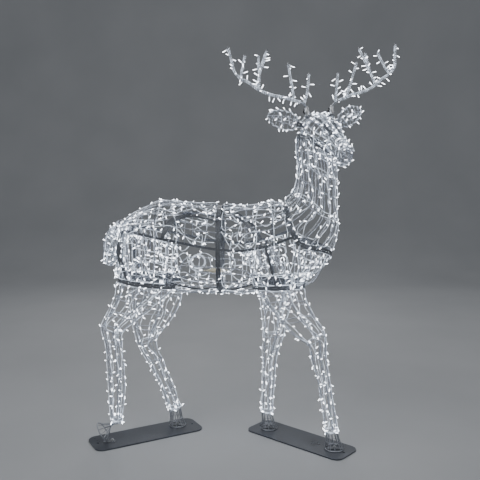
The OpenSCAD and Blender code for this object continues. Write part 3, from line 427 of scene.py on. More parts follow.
class Mesh:
    """Collects vertices and faces, with a glow value for each vertex."""

    def __init__(self):
        self.verts, self.glow, self.count = [], [], 0
        self.quads, self.tris = [], [np.zeros((0, 3), int)]
        self.quad_mats, self.tri_mats = [], []

    def add(self, verts, quads, tris=None, mat=0, glow=0.0):
        self.quads.append(quads + self.count)
        self.quad_mats.append(np.full(len(quads), mat))
        if tris is not None:
            self.tris.append(tris + self.count)
            self.tri_mats.append(np.full(len(tris), mat))
        self.verts.append(verts)
        self.glow.append(np.broadcast_to(glow, len(verts)))
        self.count += len(verts)

    def sweep(self, path, side, up, section, mat=0, closed=False, glow=0.0, scale=1.0):
        """Section points, given along side and up, carried over every path point."""
        rows, corners = len(path), len(section)
        scale = np.broadcast_to(scale, rows)[:, None, None]
        spread = side[:, None] * section[None, :, :1] + up[:, None] * section[None, :, 1:]
        verts = (path[:, None] + spread * scale).reshape(-1, 3)
        row_glow = np.broadcast_to(glow, rows)
        glow = np.repeat(row_glow, corners)
        tris = None
        if not closed:
            verts = np.concatenate([verts, path[:1], path[-1:]])
            glow = np.r_[glow, row_glow[0], row_glow[-1]]
            j, hub = np.arange(corners), rows * corners
            after, last = (j + 1) % corners, hub - corners
            tris = np.concatenate([
                np.stack([np.full(corners, hub), after, j], 1),
                np.stack([np.full(corners, hub + 1), last + j, last + after], 1)])
        self.add(verts, grid_quads(rows, corners, closed), tris, mat, glow)

    def tube(self, path, radius, sides=8, mat=0, closed=False, glow=0.0, scale=1.0):
        along = tangents(path, closed)
        side = carried(along, crosswise(along[0]))
        up = np.cross(along, side)
        if closed:
            # spread the leftover twist so the ends meet
            twist = math.atan2(side[0] @ up[-1], side[0] @ side[-1])
            angle = (np.arange(len(path)) / len(path) * twist)[:, None]
            side, up = (side * np.cos(angle) + up * np.sin(angle),
                        up * np.cos(angle) - side * np.sin(angle))
        angle = (np.arange(sides) + 0.5) * 2 * math.pi / sides
        circle = np.stack([np.cos(angle), np.sin(angle)], 1) * radius
        self.sweep(path, side, up, circle, mat, closed, glow, scale)

    def strip(self, path, normals, width=BAR_W, thickness=BAR_T, closed=False, widths=None):
        """Flat bar facing along normals; widths overrides width along the path."""
        along = tangents(path, closed)
        up = unit(normals - along * (normals * along).sum(1, keepdims=True))
        side = np.cross(up, along)
        if widths is not None:
            side = side * (widths / width)[:, None]
        section = chamfered(width / 2, thickness / 2, min(0.7, thickness * 0.25))
        self.sweep(path, side, up, section, BARS, closed)

    def slab(self, origin, up, toward, low, high, mat=BARS, cut=0.6):
        """Chamfered block between two corners; local z is up and local x leans toward."""
        local_z = unit(up)
        local_y = unit(np.cross(local_z, toward))
        local_x = np.cross(local_y, local_z)
        x, y = (high[0] - low[0]) / 2, (high[1] - low[1]) / 2
        centre = origin + local_x * (low[0] + x) + local_y * (low[1] + y)
        heights = vec(low[2], low[2] + cut, high[2] - cut, high[2])
        shrink = 1 - cut / max(x, y)
        self.sweep(centre + local_z * heights[:, None], local_x[None], local_y[None],
                   chamfered(x, y, cut), mat, scale=[shrink, 1, 1, shrink])

    def lathe(self, origin, axis, profile, sides=24, mat=0):
        """Profile of (radius, height) turned about axis."""
        axis = unit(axis)
        local_x = unit(crosswise(axis))
        local_y = np.cross(axis, local_x)
        profile = np.asarray(profile, float)
        angle = np.radians(turn(sides))[:, None]
        spokes = np.cos(angle) * local_x + np.sin(angle) * local_y
        verts = origin + axis * profile[:, None, 1:2] + spokes[None] * profile[:, None, 0:1]
        self.add(verts.reshape(-1, 3), grid_quads(len(profile), sides), mat=mat)

    def stamp(self, shape, points, up, toward):
        """Copies of a shape (verts, quads, glow) with local z along up."""
        verts, quads, glow = shape
        up = unit(up)
        local_y = unit(np.cross(up, toward))
        turned = np.stack([np.cross(local_y, up), local_y, up], 1)
        copies = np.einsum("kc,ncd->nkd", verts, turned) + points[:, None]
        faces = quads[None] + (np.arange(len(points)) * len(verts))[:, None, None]
        self.add(copies.reshape(-1, 3), faces.reshape(-1, 4), glow=np.tile(glow, len(points)))

    def make(self, name, materials, slot, replaced=None, flat=(), body="stag"):
        """Make the object; flat lists the material slots shaded flat."""
        verts = placed(np.concatenate(self.verts))
        quads, tris = np.concatenate(self.quads), np.concatenate(self.tris)
        data = bpy.data.meshes.new(name)
        data.vertices.add(len(verts))
        data.vertices.foreach_set("co", verts.astype(np.float32).ravel())
        corners = np.concatenate([quads.ravel(), tris.ravel()])
        data.loops.add(len(corners))
        data.loops.foreach_set("vertex_index", corners.astype(np.int32))
        sizes = np.r_[np.full(len(quads), 4), np.full(len(tris), 3)]
        starts = np.cumsum(sizes) - sizes
        slots = np.concatenate(self.quad_mats + self.tri_mats).astype(np.int32)
        faces = data.polygons
        faces.add(len(sizes))
        faces.foreach_set("loop_start", starts.astype(np.int32))
        faces.foreach_set("loop_total", sizes.astype(np.int32))
        faces.foreach_set("material_index", slots)
        faces.foreach_set("use_smooth", ~np.isin(slots, flat))
        for material in materials:
            data.materials.append(material)
        glow = data.attributes.new("glow", "FLOAT", "POINT")
        glow.data.foreach_set("value", np.concatenate(self.glow).astype(np.float32))
        data.update(calc_edges=True)
        data.validate()
        ob = bpy.data.objects.new(name, data)
        bpy.context.scene.collection.objects.link(ob)
        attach(ob, body)
        if replaced:
            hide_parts(replaced)
        return ob


def turned_shape(profile, sides, glow=0.0):
    """Lathed shape for stamping; glow is one value or one per profile point."""
    mesh = Mesh()
    mesh.lathe(vec(0, 0, 0), Z_AXIS, profile, sides)
    return mesh.verts[0], mesh.quads[0], np.repeat(np.broadcast_to(glow, len(profile)), sides)


# stick lamp: clear sleeve, lit lens and rounded tip
LAMP = turned_shape(
    [(0.01, -1.0), (1.35, -0.8), (1.45, 2.6), (1.1, 3.0), (1.1, 4.0), (1.6, 4.6), (1.65, 13),
     (1.4, 15.2), (0.8, 16.6), (0.01, 17.2)], 7, [0.1, 0.1, 0.12, 0.2, 0.35, 0.6, 0.8, 1, 1, 1])
LONG_LAMP = (LAMP[0] * vec(0.95, 0.95, 1.4), *LAMP[1:])
# sleeve on the cable under each lamp
TEE = turned_shape([(0.01, -4.2), (1.6, -4.2), (1.95, -3.4), (1.95, 3.4), (1.6, 4.2),
                    (0.01, 4.2)], 6, 0.1)
TIE = turned_shape([(3.6, -1.3), (4.5, -1.3), (4.5, 1.3), (3.6, 1.3), (3.6, -1.3)], 10)


# ---------------------------------------------------------------- wirework
WELD_SEEDS = itertools.count(1)
SEAM_STEPS = np.linspace(-180, 180, 97)[:-1]


class Wirework(Mesh):
    """Welded rods and flat bars of one section, with the cable ties on them."""

    def __init__(self, tie_seed=0):
        super().__init__()
        self.ties, self.rng = Mesh(), np.random.default_rng(tie_seed)

    def weld(self, point, radius):
        """Small lumpy bead."""
        lump = np.random.default_rng(next(WELD_SEEDS)).uniform(0.85, 1.15, 6) * radius
        self.lathe(point, vec(0.3, 0.2, 1),
                   [(0.01, -radius), (0.7 * lump[0], -radius * 0.7), (lump[1], 0),
                    (0.75 * lump[2], radius * 0.65), (0.01, lump[3])], 7)

    def rod(self, points, radius=ROD, steps=8, mat=RODS, bead=True):
        path = smooth(points, steps) if len(points) > 2 else np.linspace(*points, 4)
        self.tube(path, radius, 8, mat)
        if bead:
            self.weld(path[0], radius * 1.35)
            self.weld(path[-1], radius * 1.35)
        return path

    def tie(self, path, pitch):
        length = arc_lengths(path)
        spots = np.arange(pitch * self.rng.uniform(0.2, 0.8), length[-1] - 8, pitch)
        spots = spots + self.rng.uniform(-12, 12, len(spots))
        i = np.searchsorted(length, spots).clip(1, len(path) - 1)
        points, along = path[i], unit(path[i] - path[i - 1])
        side = unit(self.rng.normal(0, 1, (len(i), 3)))
        self.ties.stamp(TIE, points, along, side)
        # trimmed tail of each tie
        for point, direction, out in zip(points, along, unit(np.cross(along, side))):
            self.ties.slab(point + out * 4.2, out, direction,
                           [-1.1, -0.5, -0.3], [1.1, 0.5, 4.5], mat=0, cut=0.2)

    def tied_rod(self, points, radius=ROD):
        self.tie(self.rod(points, radius), 95)

    def tied_tube(self, path, radius, pitch, sides=8):
        self.tube(path, radius, sides)
        self.tie(path, pitch)

    def hoop(self, ring, radius=WIRE, steps=40, mat=RODS, offset=0.0):
        self.tube(ring_at(ring, turn(steps), offset), radius, 6, mat, closed=True)

    def half_hoop(self, skin, row, offset, radius, mat):
        """Hoop over the upper half of a body skin."""
        self.tube(skin.at(row, np.linspace(-90, 90, 40), offset), radius, 6, mat)

    def ring_band(self, ring, shift=0.0, steps=72):
        angles = turn(steps)
        path = ring_at(ring, angles) + ring_axis(ring) * shift
        self.strip(path, ring_out(ring, angles), closed=True)

    def tabs(self, seam, facing):
        """Bolt tabs on one face of a joint."""
        low = GAP / 2 if facing > 0 else -GAP / 2 - BAR_T
        for point, axis, inward in seam:
            self.slab(point, axis, inward, [-1.2, -9, low], [22.8, 9, low + BAR_T])

    def joint(self, ring, angles, facing):
        """Bar and tabs on the upper (1) or lower (-1) side of a ring joint."""
        self.ring_band(ring, facing * BAR_SHIFT)
        self.tabs(ring_seam(ring, angles), facing)

    def neck_joint(self, facing):
        """Bar and tabs on the neck (1) or body (-1) side of the neck joint."""
        path = seam_at(SEAM_STEPS) + seam_across(SEAM_STEPS) * facing * BAR_SHIFT
        self.strip(path, seam_out(SEAM_STEPS), closed=True)
        self.tabs(NECK_SEAM, facing)

    def skin_strip(self, skin, rows, angles, width, offset=0.0, widths=None):
        self.strip(skin.at(rows, angles, offset), skin.out(rows, angles), width, widths=widths)

    def contour_strap(self, skin, keys, side, width):
        """Strap over a skin through keys of row, angle and local width."""
        rows, angles, widths = smooth(keys).T
        self.skin_strip(skin, rows, angles * side, width, 2.5, widths)

    def finish(self, name, replaced, *extra):
        self.make(name + "_wirework", [GALVANISED, DARK_BAR, *extra], "frame", replaced, (BARS,))
        if self.ties.verts:
            self.ties.make(name + "_ties", [NYLON], "led_string", flat=(0,))


# ---------------------------------------------------------------- cable and lamps
class Lights:
    """Clear cable, tee sleeves and stick lamps of one section."""

    def __init__(self, seed):
        self.cable, self.lamps, self.tees = Mesh(), Mesh(), Mesh()
        self.rng = np.random.default_rng(seed)

    def string(self, path, normals, gap, lean, radius=1.25, first=None, lamp=LAMP):
        """Cable along a path with a lamp every gap; a larger lean stands the lamps up more."""
        normals = np.broadcast_to(normals, path.shape)
        length = arc_lengths(path)
        keep = np.r_[True, np.diff(length) > 1e-4]
        path, normals, length = path[keep], normals[keep], length[keep]
        count = max(3, int(length[-1] / 7.0))
        spots = np.linspace(0, length[-1], count)
        points = interp_rows(spots, length, path)
        normals = unit(interp_rows(spots, length, normals))
        # light carried along the cable in waves one gap long
        self.cable.tube(points, radius, 6, glow=0.5 + 0.5 * np.cos(2 * math.pi * spots / gap))
        at = np.arange(gap * 0.5 if first is None else first, length[-1] - 4, gap)
        at = at + self.rng.uniform(-0.16, 0.16, len(at)) * gap
        i = np.searchsorted(spots, np.clip(at, 1, length[-1] - 1)).clip(1, count - 1)
        points, out, along = points[i], normals[i], unit(points[i] - points[i - 1])
        side = np.cross(along, out)
        swing = self.rng.uniform(-1, 1, (len(at), 1)) * 2.2
        rise = self.rng.uniform(0.1, 1.0, (len(at), 1)) * lean
        aim = unit(out * rise + (along * np.cos(swing) + side * np.sin(swing)))
        self.lamps.stamp(lamp, points, aim, side + along * 0.3)
        self.tees.stamp(TEE, points, along, out)

    def web(self, skin, rows, columns, passes, sway=8.0, drift=0.0, lift=(4.8, 7.5), key=55.0,
            gap=54.6, lean=0.55, inner=0.45, cross=False):
        """One cable to and fro over a skin, along the rows or across them.

        sway and drift scatter the keys by column and row, key is the distance between
        keys, lift their height off the skin, inner the share of passes inside it.
        """
        keys = []
        for i in range(passes):
            place = (i + 0.5) / passes
            if cross:
                row, column = rows[0] + (rows[1] - rows[0]) * place, np.linspace(*columns, 30)
            else:
                row = np.linspace(*rows, 30)
                column = columns[0] + (columns[1] - columns[0]) * place
            line = np.stack(np.broadcast_arrays(row, column), 1)
            if i % 2:
                line = line[::-1]
            length = arc_lengths(skin.at(line[:, 0], line[:, 1]))
            count = max(3, int(length[-1] / key) + 1)
            line = interp_rows(np.linspace(0, length[-1], count), length, line)
            line[1:-1, 0] += self.rng.normal(0, 1, count - 2) * drift
            line[:, 1] += self.rng.normal(0, 1, count) * sway
            sign = -1.0 if self.rng.random() < inner else 1.0
            keys.append(np.column_stack([line, self.rng.uniform(*lift, count) * sign]))
        # rows are weighted so that one row counts like 100 units of column or lift
        weight = vec(100, 1, 1)
        row, column, height = (smooth(np.concatenate(keys) * weight, 7) / weight).T
        row = np.clip(row, *rows)
        self.string(skin.at(row, column, height), skin.out(row, column), gap, lean)

    def make(self, name, replaced=None, body="stag"):
        for part, mesh, material in (("_cable", self.cable, CLEAR_CABLE),
                                     ("_lamps", self.lamps, LIT_LENS),
                                     ("_lamp_tees", self.tees, CLEAR_TEE)):
            mesh.make(name + part, [material], "led_string", replaced, body=body)
            replaced = None


# ---------------------------------------------------------------- materials
class Shader:
    """A new Principled material with short ways to wire it."""

    def __init__(self, name):
        self.material = bpy.data.materials.new(name)
        self.material.use_nodes = True
        self.tree = self.material.node_tree
        self.bsdf = self.tree.nodes["Principled BSDF"]
        self.coords = self.node("TexCoord").outputs["Object"]

    def node(self, kind):
        return self.tree.nodes.new("ShaderNode" + kind)

    def feed(self, socket, value):
        if isinstance(value, bpy.types.NodeSocket):
            self.tree.links.new(value, socket)
        else:
            socket.default_value = (*value, 1) if isinstance(value, tuple) else value

    def surface(self, inputs):
        for name, value in inputs.items():
            self.feed(self.bsdf.inputs[name], value)

    def noise(self, scale, detail=4.0, rough=0.5):
        node = self.node("TexNoise")
        for name, value in (("Scale", scale), ("Detail", detail), ("Roughness", rough),
                            ("Vector", self.coords)):
            self.feed(node.inputs[name], value)
        return node.outputs["Fac"]

    def cells(self, scale):
        node = self.node("TexVoronoi")
        self.feed(node.inputs["Scale"], scale)
        self.feed(node.inputs["Vector"], self.coords)
        return node.outputs["Distance"]

    def ramp(self, factor, low, high, start=0.3, end=0.7):
        """From low at start to high at end; each a grey value or a colour."""
        node = self.node("ValToRGB")
        for stop, place, tone in zip(node.color_ramp.elements, (start, end), (low, high)):
            stop.position = place
            stop.color = (*(tone if isinstance(tone, tuple) else (tone,) * 3), 1)
        self.feed(node.inputs["Fac"], factor)
        return node.outputs["Color"]

    def blend(self, factor, first, second, mode="MIX"):
        node = self.node("Mix")
        node.data_type, node.blend_type = "RGBA", mode
        for i, value in ((0, factor), (6, first), (7, second)):
            self.feed(node.inputs[i], value)
        return node.outputs[2]

    def math(self, operation, first, second):
        node = self.node("Math")
        node.operation = operation
        self.feed(node.inputs[0], first)
        self.feed(node.inputs[1], second)
        return node.outputs[0]

    def glow(self):
        node = self.node("Attribute")
        node.attribute_name = "glow"
        return node.outputs["Fac"]

    def bump(self, height, strength, distance=0.0003):
        node = self.node("Bump")
        self.feed(node.inputs["Strength"], strength)
        self.feed(node.inputs["Distance"], distance)
        self.feed(node.inputs["Height"], height)
        self.feed(self.bsdf.inputs["Normal"], node.outputs["Normal"])


def metal(name, dark, light, rust, rough=(0.28, 0.52), metallic=0.85, spangle=420.0):
    """Crystalline metal with grime and rust spots; spangle scales its crystals."""
    shader = Shader(name)
    cells = shader.cells(spangle)
    fine = shader.noise(1400, detail=5, rough=0.6)
    broad = shader.noise(18, detail=3, rough=0.6)
    mottle = shader.math("ADD", shader.math("MULTIPLY", cells, 0.55),
                         shader.math("MULTIPLY", fine, 0.5))
    color = shader.ramp(mottle, dark, light, start=0.15, end=0.75)
    grime = shader.ramp(broad, (1.0, 1.0, 1.0), (0.72, 0.73, 0.76), start=0.42, end=0.75)
    color = shader.blend(1.0, color, grime, "MULTIPLY")
    spots = shader.ramp(shader.noise(95, detail=6, rough=0.7), 0.0, rust, start=0.66, end=0.74)
    color = shader.blend(spots, color, (0.22, 0.12, 0.07))
    shader.surface({"Base Color": color, "Roughness": shader.ramp(fine, *rough),
                    "Metallic": metallic})
    shader.bump(shader.math("ADD", cells, fine), strength=0.35)
    return shader.material


def powder_coat():
    shader = Shader("slate_powder_coat")
    peel = shader.noise(650, detail=3)
    speck = shader.noise(2600, detail=2)
    cloud = shader.noise(6, rough=0.6)
    scratch = shader.noise(40, detail=8, rough=0.75)
    color = shader.ramp(cloud, (0.045, 0.052, 0.066), (0.075, 0.085, 0.105), end=0.72)
    flecks = shader.ramp(speck, 0.0, 0.35, start=0.56, end=0.72)
    color = shader.blend(flecks, color, (0.2, 0.22, 0.26))
    wear = shader.ramp(scratch, 0.0, 0.5, start=0.66)
    color = shader.blend(wear, color, (0.2, 0.2, 0.2))
    shader.surface({"Base Color": color, "Roughness": shader.ramp(cloud, 0.26, 0.42),
                    "Metallic": 0.25, "Coat Weight": 0.25, "Coat Roughness": 0.2})
    shader.bump(peel, strength=0.25, distance=0.0004)
    return shader.material


def cable_plastic(power=0.55, floor=0.35):
    """Clear cable; power scales its glow, and floor is the share lit everywhere."""
    shader = Shader("clear_pvc_cable")
    haze = shader.noise(220, rough=0.6)
    shine = shader.math("MULTIPLY", shader.glow(), power)
    shader.surface({
        "Base Color": shader.ramp(haze, (0.62, 0.67, 0.74), (0.86, 0.9, 0.95)),
        "Roughness": shader.ramp(haze, 0.12, 0.3),
        "Transmission Weight": 0.25, "IOR": 1.45, "Specular IOR Level": 0.6,
        "Emission Color": (0.82, 0.9, 1.0),
        "Emission Strength": shader.math("ADD", shine, power * floor)})
    shader.bump(shader.noise(900, detail=3), strength=0.2)
    return shader.material


def lens_plastic(power=13.0, falloff=1.4):
    """Lit lens; power scales its light, and falloff darkens the dimmer parts."""
    shader = Shader("lit_lens")
    color = shader.ramp(shader.noise(60, detail=3), (0.8, 0.88, 1.0), (0.95, 0.97, 1.0))
    shine = shader.math("MULTIPLY", shader.math("POWER", shader.glow(), falloff), power)
    vary = shader.ramp(shader.noise(14, detail=2), 0.65, 1.0, start=0.35, end=0.65)
    shader.surface({"Base Color": color, "Emission Color": color, "Roughness": 0.18,
                    "Emission Strength": shader.math("MULTIPLY", shine, vary)})
    shader.bump(shader.noise(700, detail=2), strength=0.15)
    return shader.material


def plastic(name, dark, light, rough=(0.35, 0.55), grain=1200.0, clear=0.0):
    """Mottled plastic; grain scales its texture and clear is its transmission."""
    shader = Shader(name)
    mottle = shader.noise(90, rough=0.6)
    fine = shader.noise(grain, detail=3)
    shader.surface({"Base Color": shader.ramp(mottle, dark, light),
                    "Roughness": shader.ramp(fine, *rough), "Transmission Weight": clear})
    shader.bump(fine, strength=0.3)
    return shader.material


def floor_paint():
    shader = Shader("pale_floor")
    tone = shader.ramp(shader.noise(1.2, detail=3), (0.40, 0.41, 0.425), (0.44, 0.45, 0.465))
    shader.surface({"Base Color": tone, "Roughness": 0.55, "Specular IOR Level": 0.25})
    shader.bump(shader.noise(300, detail=3), strength=0.05, distance=0.001)
    return shader.material


GALVANISED = metal("galvanised_rod", dark=(0.34, 0.36, 0.41), light=(0.66, 0.69, 0.75), rust=0.25)
DARK_BAR = metal("dark_flat_bar", dark=(0.085, 0.09, 0.1), light=(0.22, 0.235, 0.26), rust=0.2,
                 rough=(0.36, 0.6), metallic=0.6, spangle=260)
BARE_WIRE = metal("bare_wire", dark=(0.24, 0.25, 0.28), light=(0.5, 0.52, 0.56), rust=0.35,
                  rough=(0.3, 0.5), spangle=500)
ZINC = metal("zinc_hardware", dark=(0.42, 0.43, 0.45), light=(0.72, 0.73, 0.74), rust=0.1,
             rough=(0.22, 0.42), metallic=0.95, spangle=700)
CLEAR_CABLE = cable_plastic()
LIT_LENS = lens_plastic()
CLEAR_TEE = plastic("clear_tee_moulding", dark=(0.7, 0.75, 0.82), light=(0.9, 0.93, 0.97),
                    rough=(0.15, 0.3), grain=900, clear=0.3)
NYLON = plastic("nylon_tie", dark=(0.6, 0.61, 0.6), light=(0.8, 0.8, 0.78), rough=(0.3, 0.45))
SLATE = powder_coat()
KNOB = plastic("black_knob", dark=(0.012, 0.012, 0.014), light=(0.03, 0.03, 0.033),
               rough=(0.4, 0.6), grain=1500)
CREAM = plastic("cream_coupler", dark=(0.66, 0.6, 0.44), light=(0.78, 0.73, 0.58),
                rough=(0.3, 0.5))


# ---------------------------------------------------------------- body
BACK_RODS = (-67, -45, -22, 0, 22, 45, 67)  # angles of the rods along the back
UNIT_STEPS = np.linspace(0, 1, 33)


def leg_tabs(leg):
    """Tab angles of a leg's top ring, mirrored between the sides."""
    side = np.sign(leg[0][0][1])
    return [-side * angle for angle in (28, 152, 270)]


def rear_side(wire, skin, side):
    leg = HIND[side]

    def on(row, angle):
        return skin.point(row, angle * side)

    def foot(angle):
        return upper_band(leg[0], angle * side)[0]

    wire.skin_strip(skin, np.linspace(0, 6, 49), 90 * side, 11)
    # haunch strap: starts thin on the back, broadens over the hip
    wire.contour_strap(skin, [[0, 50, 7], [0.6, 47, 9], [1.1, 45, 12], [1.6, 48, 18],
                              [2.1, 58, 24], [2.4, 74, 22], [2.6, 91, 14]], side, 20)
    wire.joint(leg[0], leg_tabs(leg), 1)
    # flank rods from the side bar to the leg joint
    for row, angle, radius in ((5.2, 145, ROD), (4.75, 131, LIGHT), (4.3, 118, ROD),
                               (3.95, 107, LIGHT), (3.6, 96, ROD), (2.9, 72, ROD),
                               (2.25, 45, ROD)):
        wire.tied_rod(bowed(on(row, 90), foot(angle), vec(0, 9 * side, 0)), radius)
    wire.tied_rod([[-431, 121 * side, 971], [-446, 112 * side, 915], [-450, 108 * side, 860],
                   [-447, 106 * side, 805], foot(180)])
    strap = smooth([[-424, 126 * side, 974], [-432, 138 * side, 915], [-430, 146 * side, 860],
                    [-412, 152 * side, 812], foot(128)])
    widths = np.interp(np.linspace(0, 1, len(strap)), [0, 0.3, 0.6, 1], [9, 18, 22, 8])
    wire.strip(strap, vec(-0.45, side, 0), 20, widths=widths)
    # belly rods
    wire.tied_rod([on(0, 112), on(1, 113), on(1.8, 116), foot(34)])
    wire.tied_rod([on(0, 134), on(1, 134), foot(0)])
    wire.tied_rod([on(0, 158), on(1, 158), [-185, 52 * side, 704], foot(-62)])
    # dark belly arc from the mid hoop into the thigh
    arc = smooth([on(0, 146), [-95, 96 * side, 716], [-160, 92 * side, 728],
                  foot(8) + vec(4, 0, 6)], 10)
    wire.strip(arc, vec(0, side, -0.5), 8, 2.5)
    # rump rods
    wire.tied_rod([on(6, 45), [-448, 62 * side, 920], [-451, 60 * side, 840],
                   [-449, 60 * side, 764]])
    wire.rod([on(6, 68), [-446, 92 * side, 930], [-452, 88 * side, 850],
              [-449, 86 * side, 764]], LIGHT)


def rear_body():
    wire = Wirework(tie_seed=11)
    skin = ring_skin(REAR)
    wire.ring_band(REAR[0], steps=96)
    wire.tabs(BODY_SEAM, -1)
    for angle in BACK_RODS:
        wire.tied_tube(skin.at(np.linspace(0, 6, 49), angle), ROD, pitch=85)
    for row, offset, radius, mat in ((1.5, 0.5, THIN, RODS), (3, 0.5, WIRE, BARS),
                                     (4.5, 0.5, THIN, RODS), (6, 0, WIRE, RODS)):
        wire.half_hoop(skin, row, offset, radius, mat)
    for side in (-1, 1):
        rear_side(wire, skin, side)
    wire.tied_rod([skin.point(0, 180), skin.point(1, 180), [-190, 0, 688], [-240, 0, 716],
                   [-330, 0, 749], [-449, 0, 764]])
    wire.rod([[-449, -110, 764], [-449, 110, 764]])
    for angle in (135, 90, 45):
        wire.rod([upper_band(HIND[side][0], -side * angle)[0] for side in (-1, 1)], WIRE)
    wire.rod([skin.point(6, 0), [-446, 0, 940], [-450, 0, 860], [-449, 0, 764]])
    # plate under the tail's plate
    wire.slab(vec(-447.5, 0, 978), Z_AXIS, X_AXIS, [-1.5, -14, -30], [1.5, 14, 30])
    wire.finish("rear_body", "rear_body_frame")
    rear_lights(skin)


def rear_lights(skin):
    lights = Lights(21)
    lights.web(skin, (0.12, 5.9), (-88, 88), 7, sway=7, drift=0.1)
    lights.web(skin, (0.15, 2.6), (100, 260), 7, drift=0.1)
    lights.web(skin, (0.25, 5.7), (-86, 86), 5, sway=10, drift=0.25, lift=(5, 11), key=70,
               gap=57.2, cross=True)
    lights.web(skin, (0.2, 2.1), (95, 265), 2, sway=12, drift=0.18, lift=(5, 10), key=60,
               gap=57.2, cross=True)
    for side in (-1, 1):
        # flank between the side bar and the leg joint
        top = skin.at(6 - UNIT_STEPS * 3.75, 90 * side)
        end = upper_band(HIND[side][0], side * (150 - 105 * UNIT_STEPS))
        out = vec(0, side, 0)
        flank = Skin(bowed(top, end, out * 9), UNIT_STEPS, out)
        lights.web(flank, (0.06, 1.94), (0.02, 0.98), 8, sway=0.018, drift=0.03, lift=(4, 8),
                   key=42, gap=52, lean=0.4)
        lights.web(flank, (0.15, 1.85), (0.05, 0.95), 2, sway=0.03, drift=0.1, lift=(5, 10),
                   key=60, cross=True)
    across = np.linspace(-1, 1, 33)
    rump = Skin([skin.at(6, across * 90), np.outer(across, [0, 112, 0]) + [-446, 0, 905],
                 np.outer(across, [0, 108, 0]) + [-450, 0, 770]], across, -X_AXIS)
    lights.web(rump, (0.05, 1.95), (-0.97, 0.97), 7, sway=0.03, drift=0.03, lift=(3, 7), key=42,
               lean=0.35, inner=0.3)
    lights.make("rear_body", "rear_body_lights")


# rod under the belly and up the chest
KEEL = smooth([[BAR_SHIFT, 0, 684], [85, 0, 684], [170, 0, 696], [330, 0, 702], [400, 0, 724],
               [446, 0, 776], [488, 0, 832], [502, 0, 858]])


def front_side(wire, skin, side):
    leg = FORE[side]

    def on(row, angle):
        return skin.point(row, angle * side)

    def foot(angle):
        return upper_band(leg[0], angle * side)[0]

    def low(angle):
        return (seam_at(angle * side) - seam_across(angle * side) * BAR_W / 2)[0]

    out = vec(0, side, 0)
    wire.strip(path_to_neck(skin, 90 * side), out, 11)
    wire.joint(leg[0], leg_tabs(leg), 1)
    wire.contour_strap(skin, [[0.5, 30, 6], [1.2, 46, 10], [1.8, 66, 13], [2.3, 90, 10]],
                       side, 13)
    # shoulder rods from the side bar to the leg joint
    for row, angle, radius in ((1.55, 158, ROD), (2.1, 128, ROD), (2.35, 112, LIGHT),
                               (2.75, 82, LIGHT), (2.9, 66, ROD)):
        wire.tied_rod(bowed(on(row, 90), foot(angle), out * 8), radius)
    wire.strip(smooth(bowed(on(2.55, 90), foot(96), out * 8)), out)
    # chest rods from the neck joint
    wire.tied_rod(bowed(low(104), foot(44), vec(2, 8 * side, 0)))
    wire.tied_rod([low(122), [402, 138 * side, 830], foot(22)])
    wire.tied_rod([low(142), [434, 108 * side, 815], foot(2)])
    wire.tied_rod([low(162), [456, 62 * side, 810], [410, 62 * side, 742], foot(-34)])
    # belly rods
    wire.tied_rod([on(0, 112), on(1, 113), on(1.6, 120), foot(146)])
    wire.tied_rod([on(0, 134), on(1, 134), foot(180)])
    wire.tied_rod([on(0, 158), on(1, 158), foot(-120)])
    # dark belly arc from the mid hoop to the elbow
    arc = smooth([on(0, 146), [60, 100 * side, 716], [110, 98 * side, 726],
                  foot(172) + vec(-3, 0, 5)], 10)
    wire.strip(arc, vec(0, side, -0.5), 8, 2.5)
    for angle, keel_index in ((-100, 18), (-50, 29)):
        wire.rod([foot(angle), KEEL[keel_index]], WIRE)


def path_to_neck(skin, angle):
    """Path along the front body and on to the neck joint's bar."""
    end = seam_at(angle) - X_AXIS * BAR_W / 2
    return smooth(np.concatenate([skin.at([0, 1, 2, 3], angle), end]), 10)


def front_body():
    wire = Wirework(tie_seed=12)
    skin = ring_skin(FRONT)
    wire.ring_band(FRONT[0], steps=96)
    wire.tabs(BODY_SEAM, 1)
    for angle in BACK_RODS:
        wire.tied_tube(path_to_neck(skin, angle), ROD, pitch=85)
    wire.half_hoop(skin, 1.4, 0.5, THIN, RODS)
    wire.half_hoop(skin, 3, 0.5, WIRE, BARS)
    wire.neck_joint(-1)
    for side in (-1, 1):
        front_side(wire, skin, side)
    wire.tube(KEEL, ROD)
    wire.finish("front_body", "front_body_frame")
    front_lights(skin)


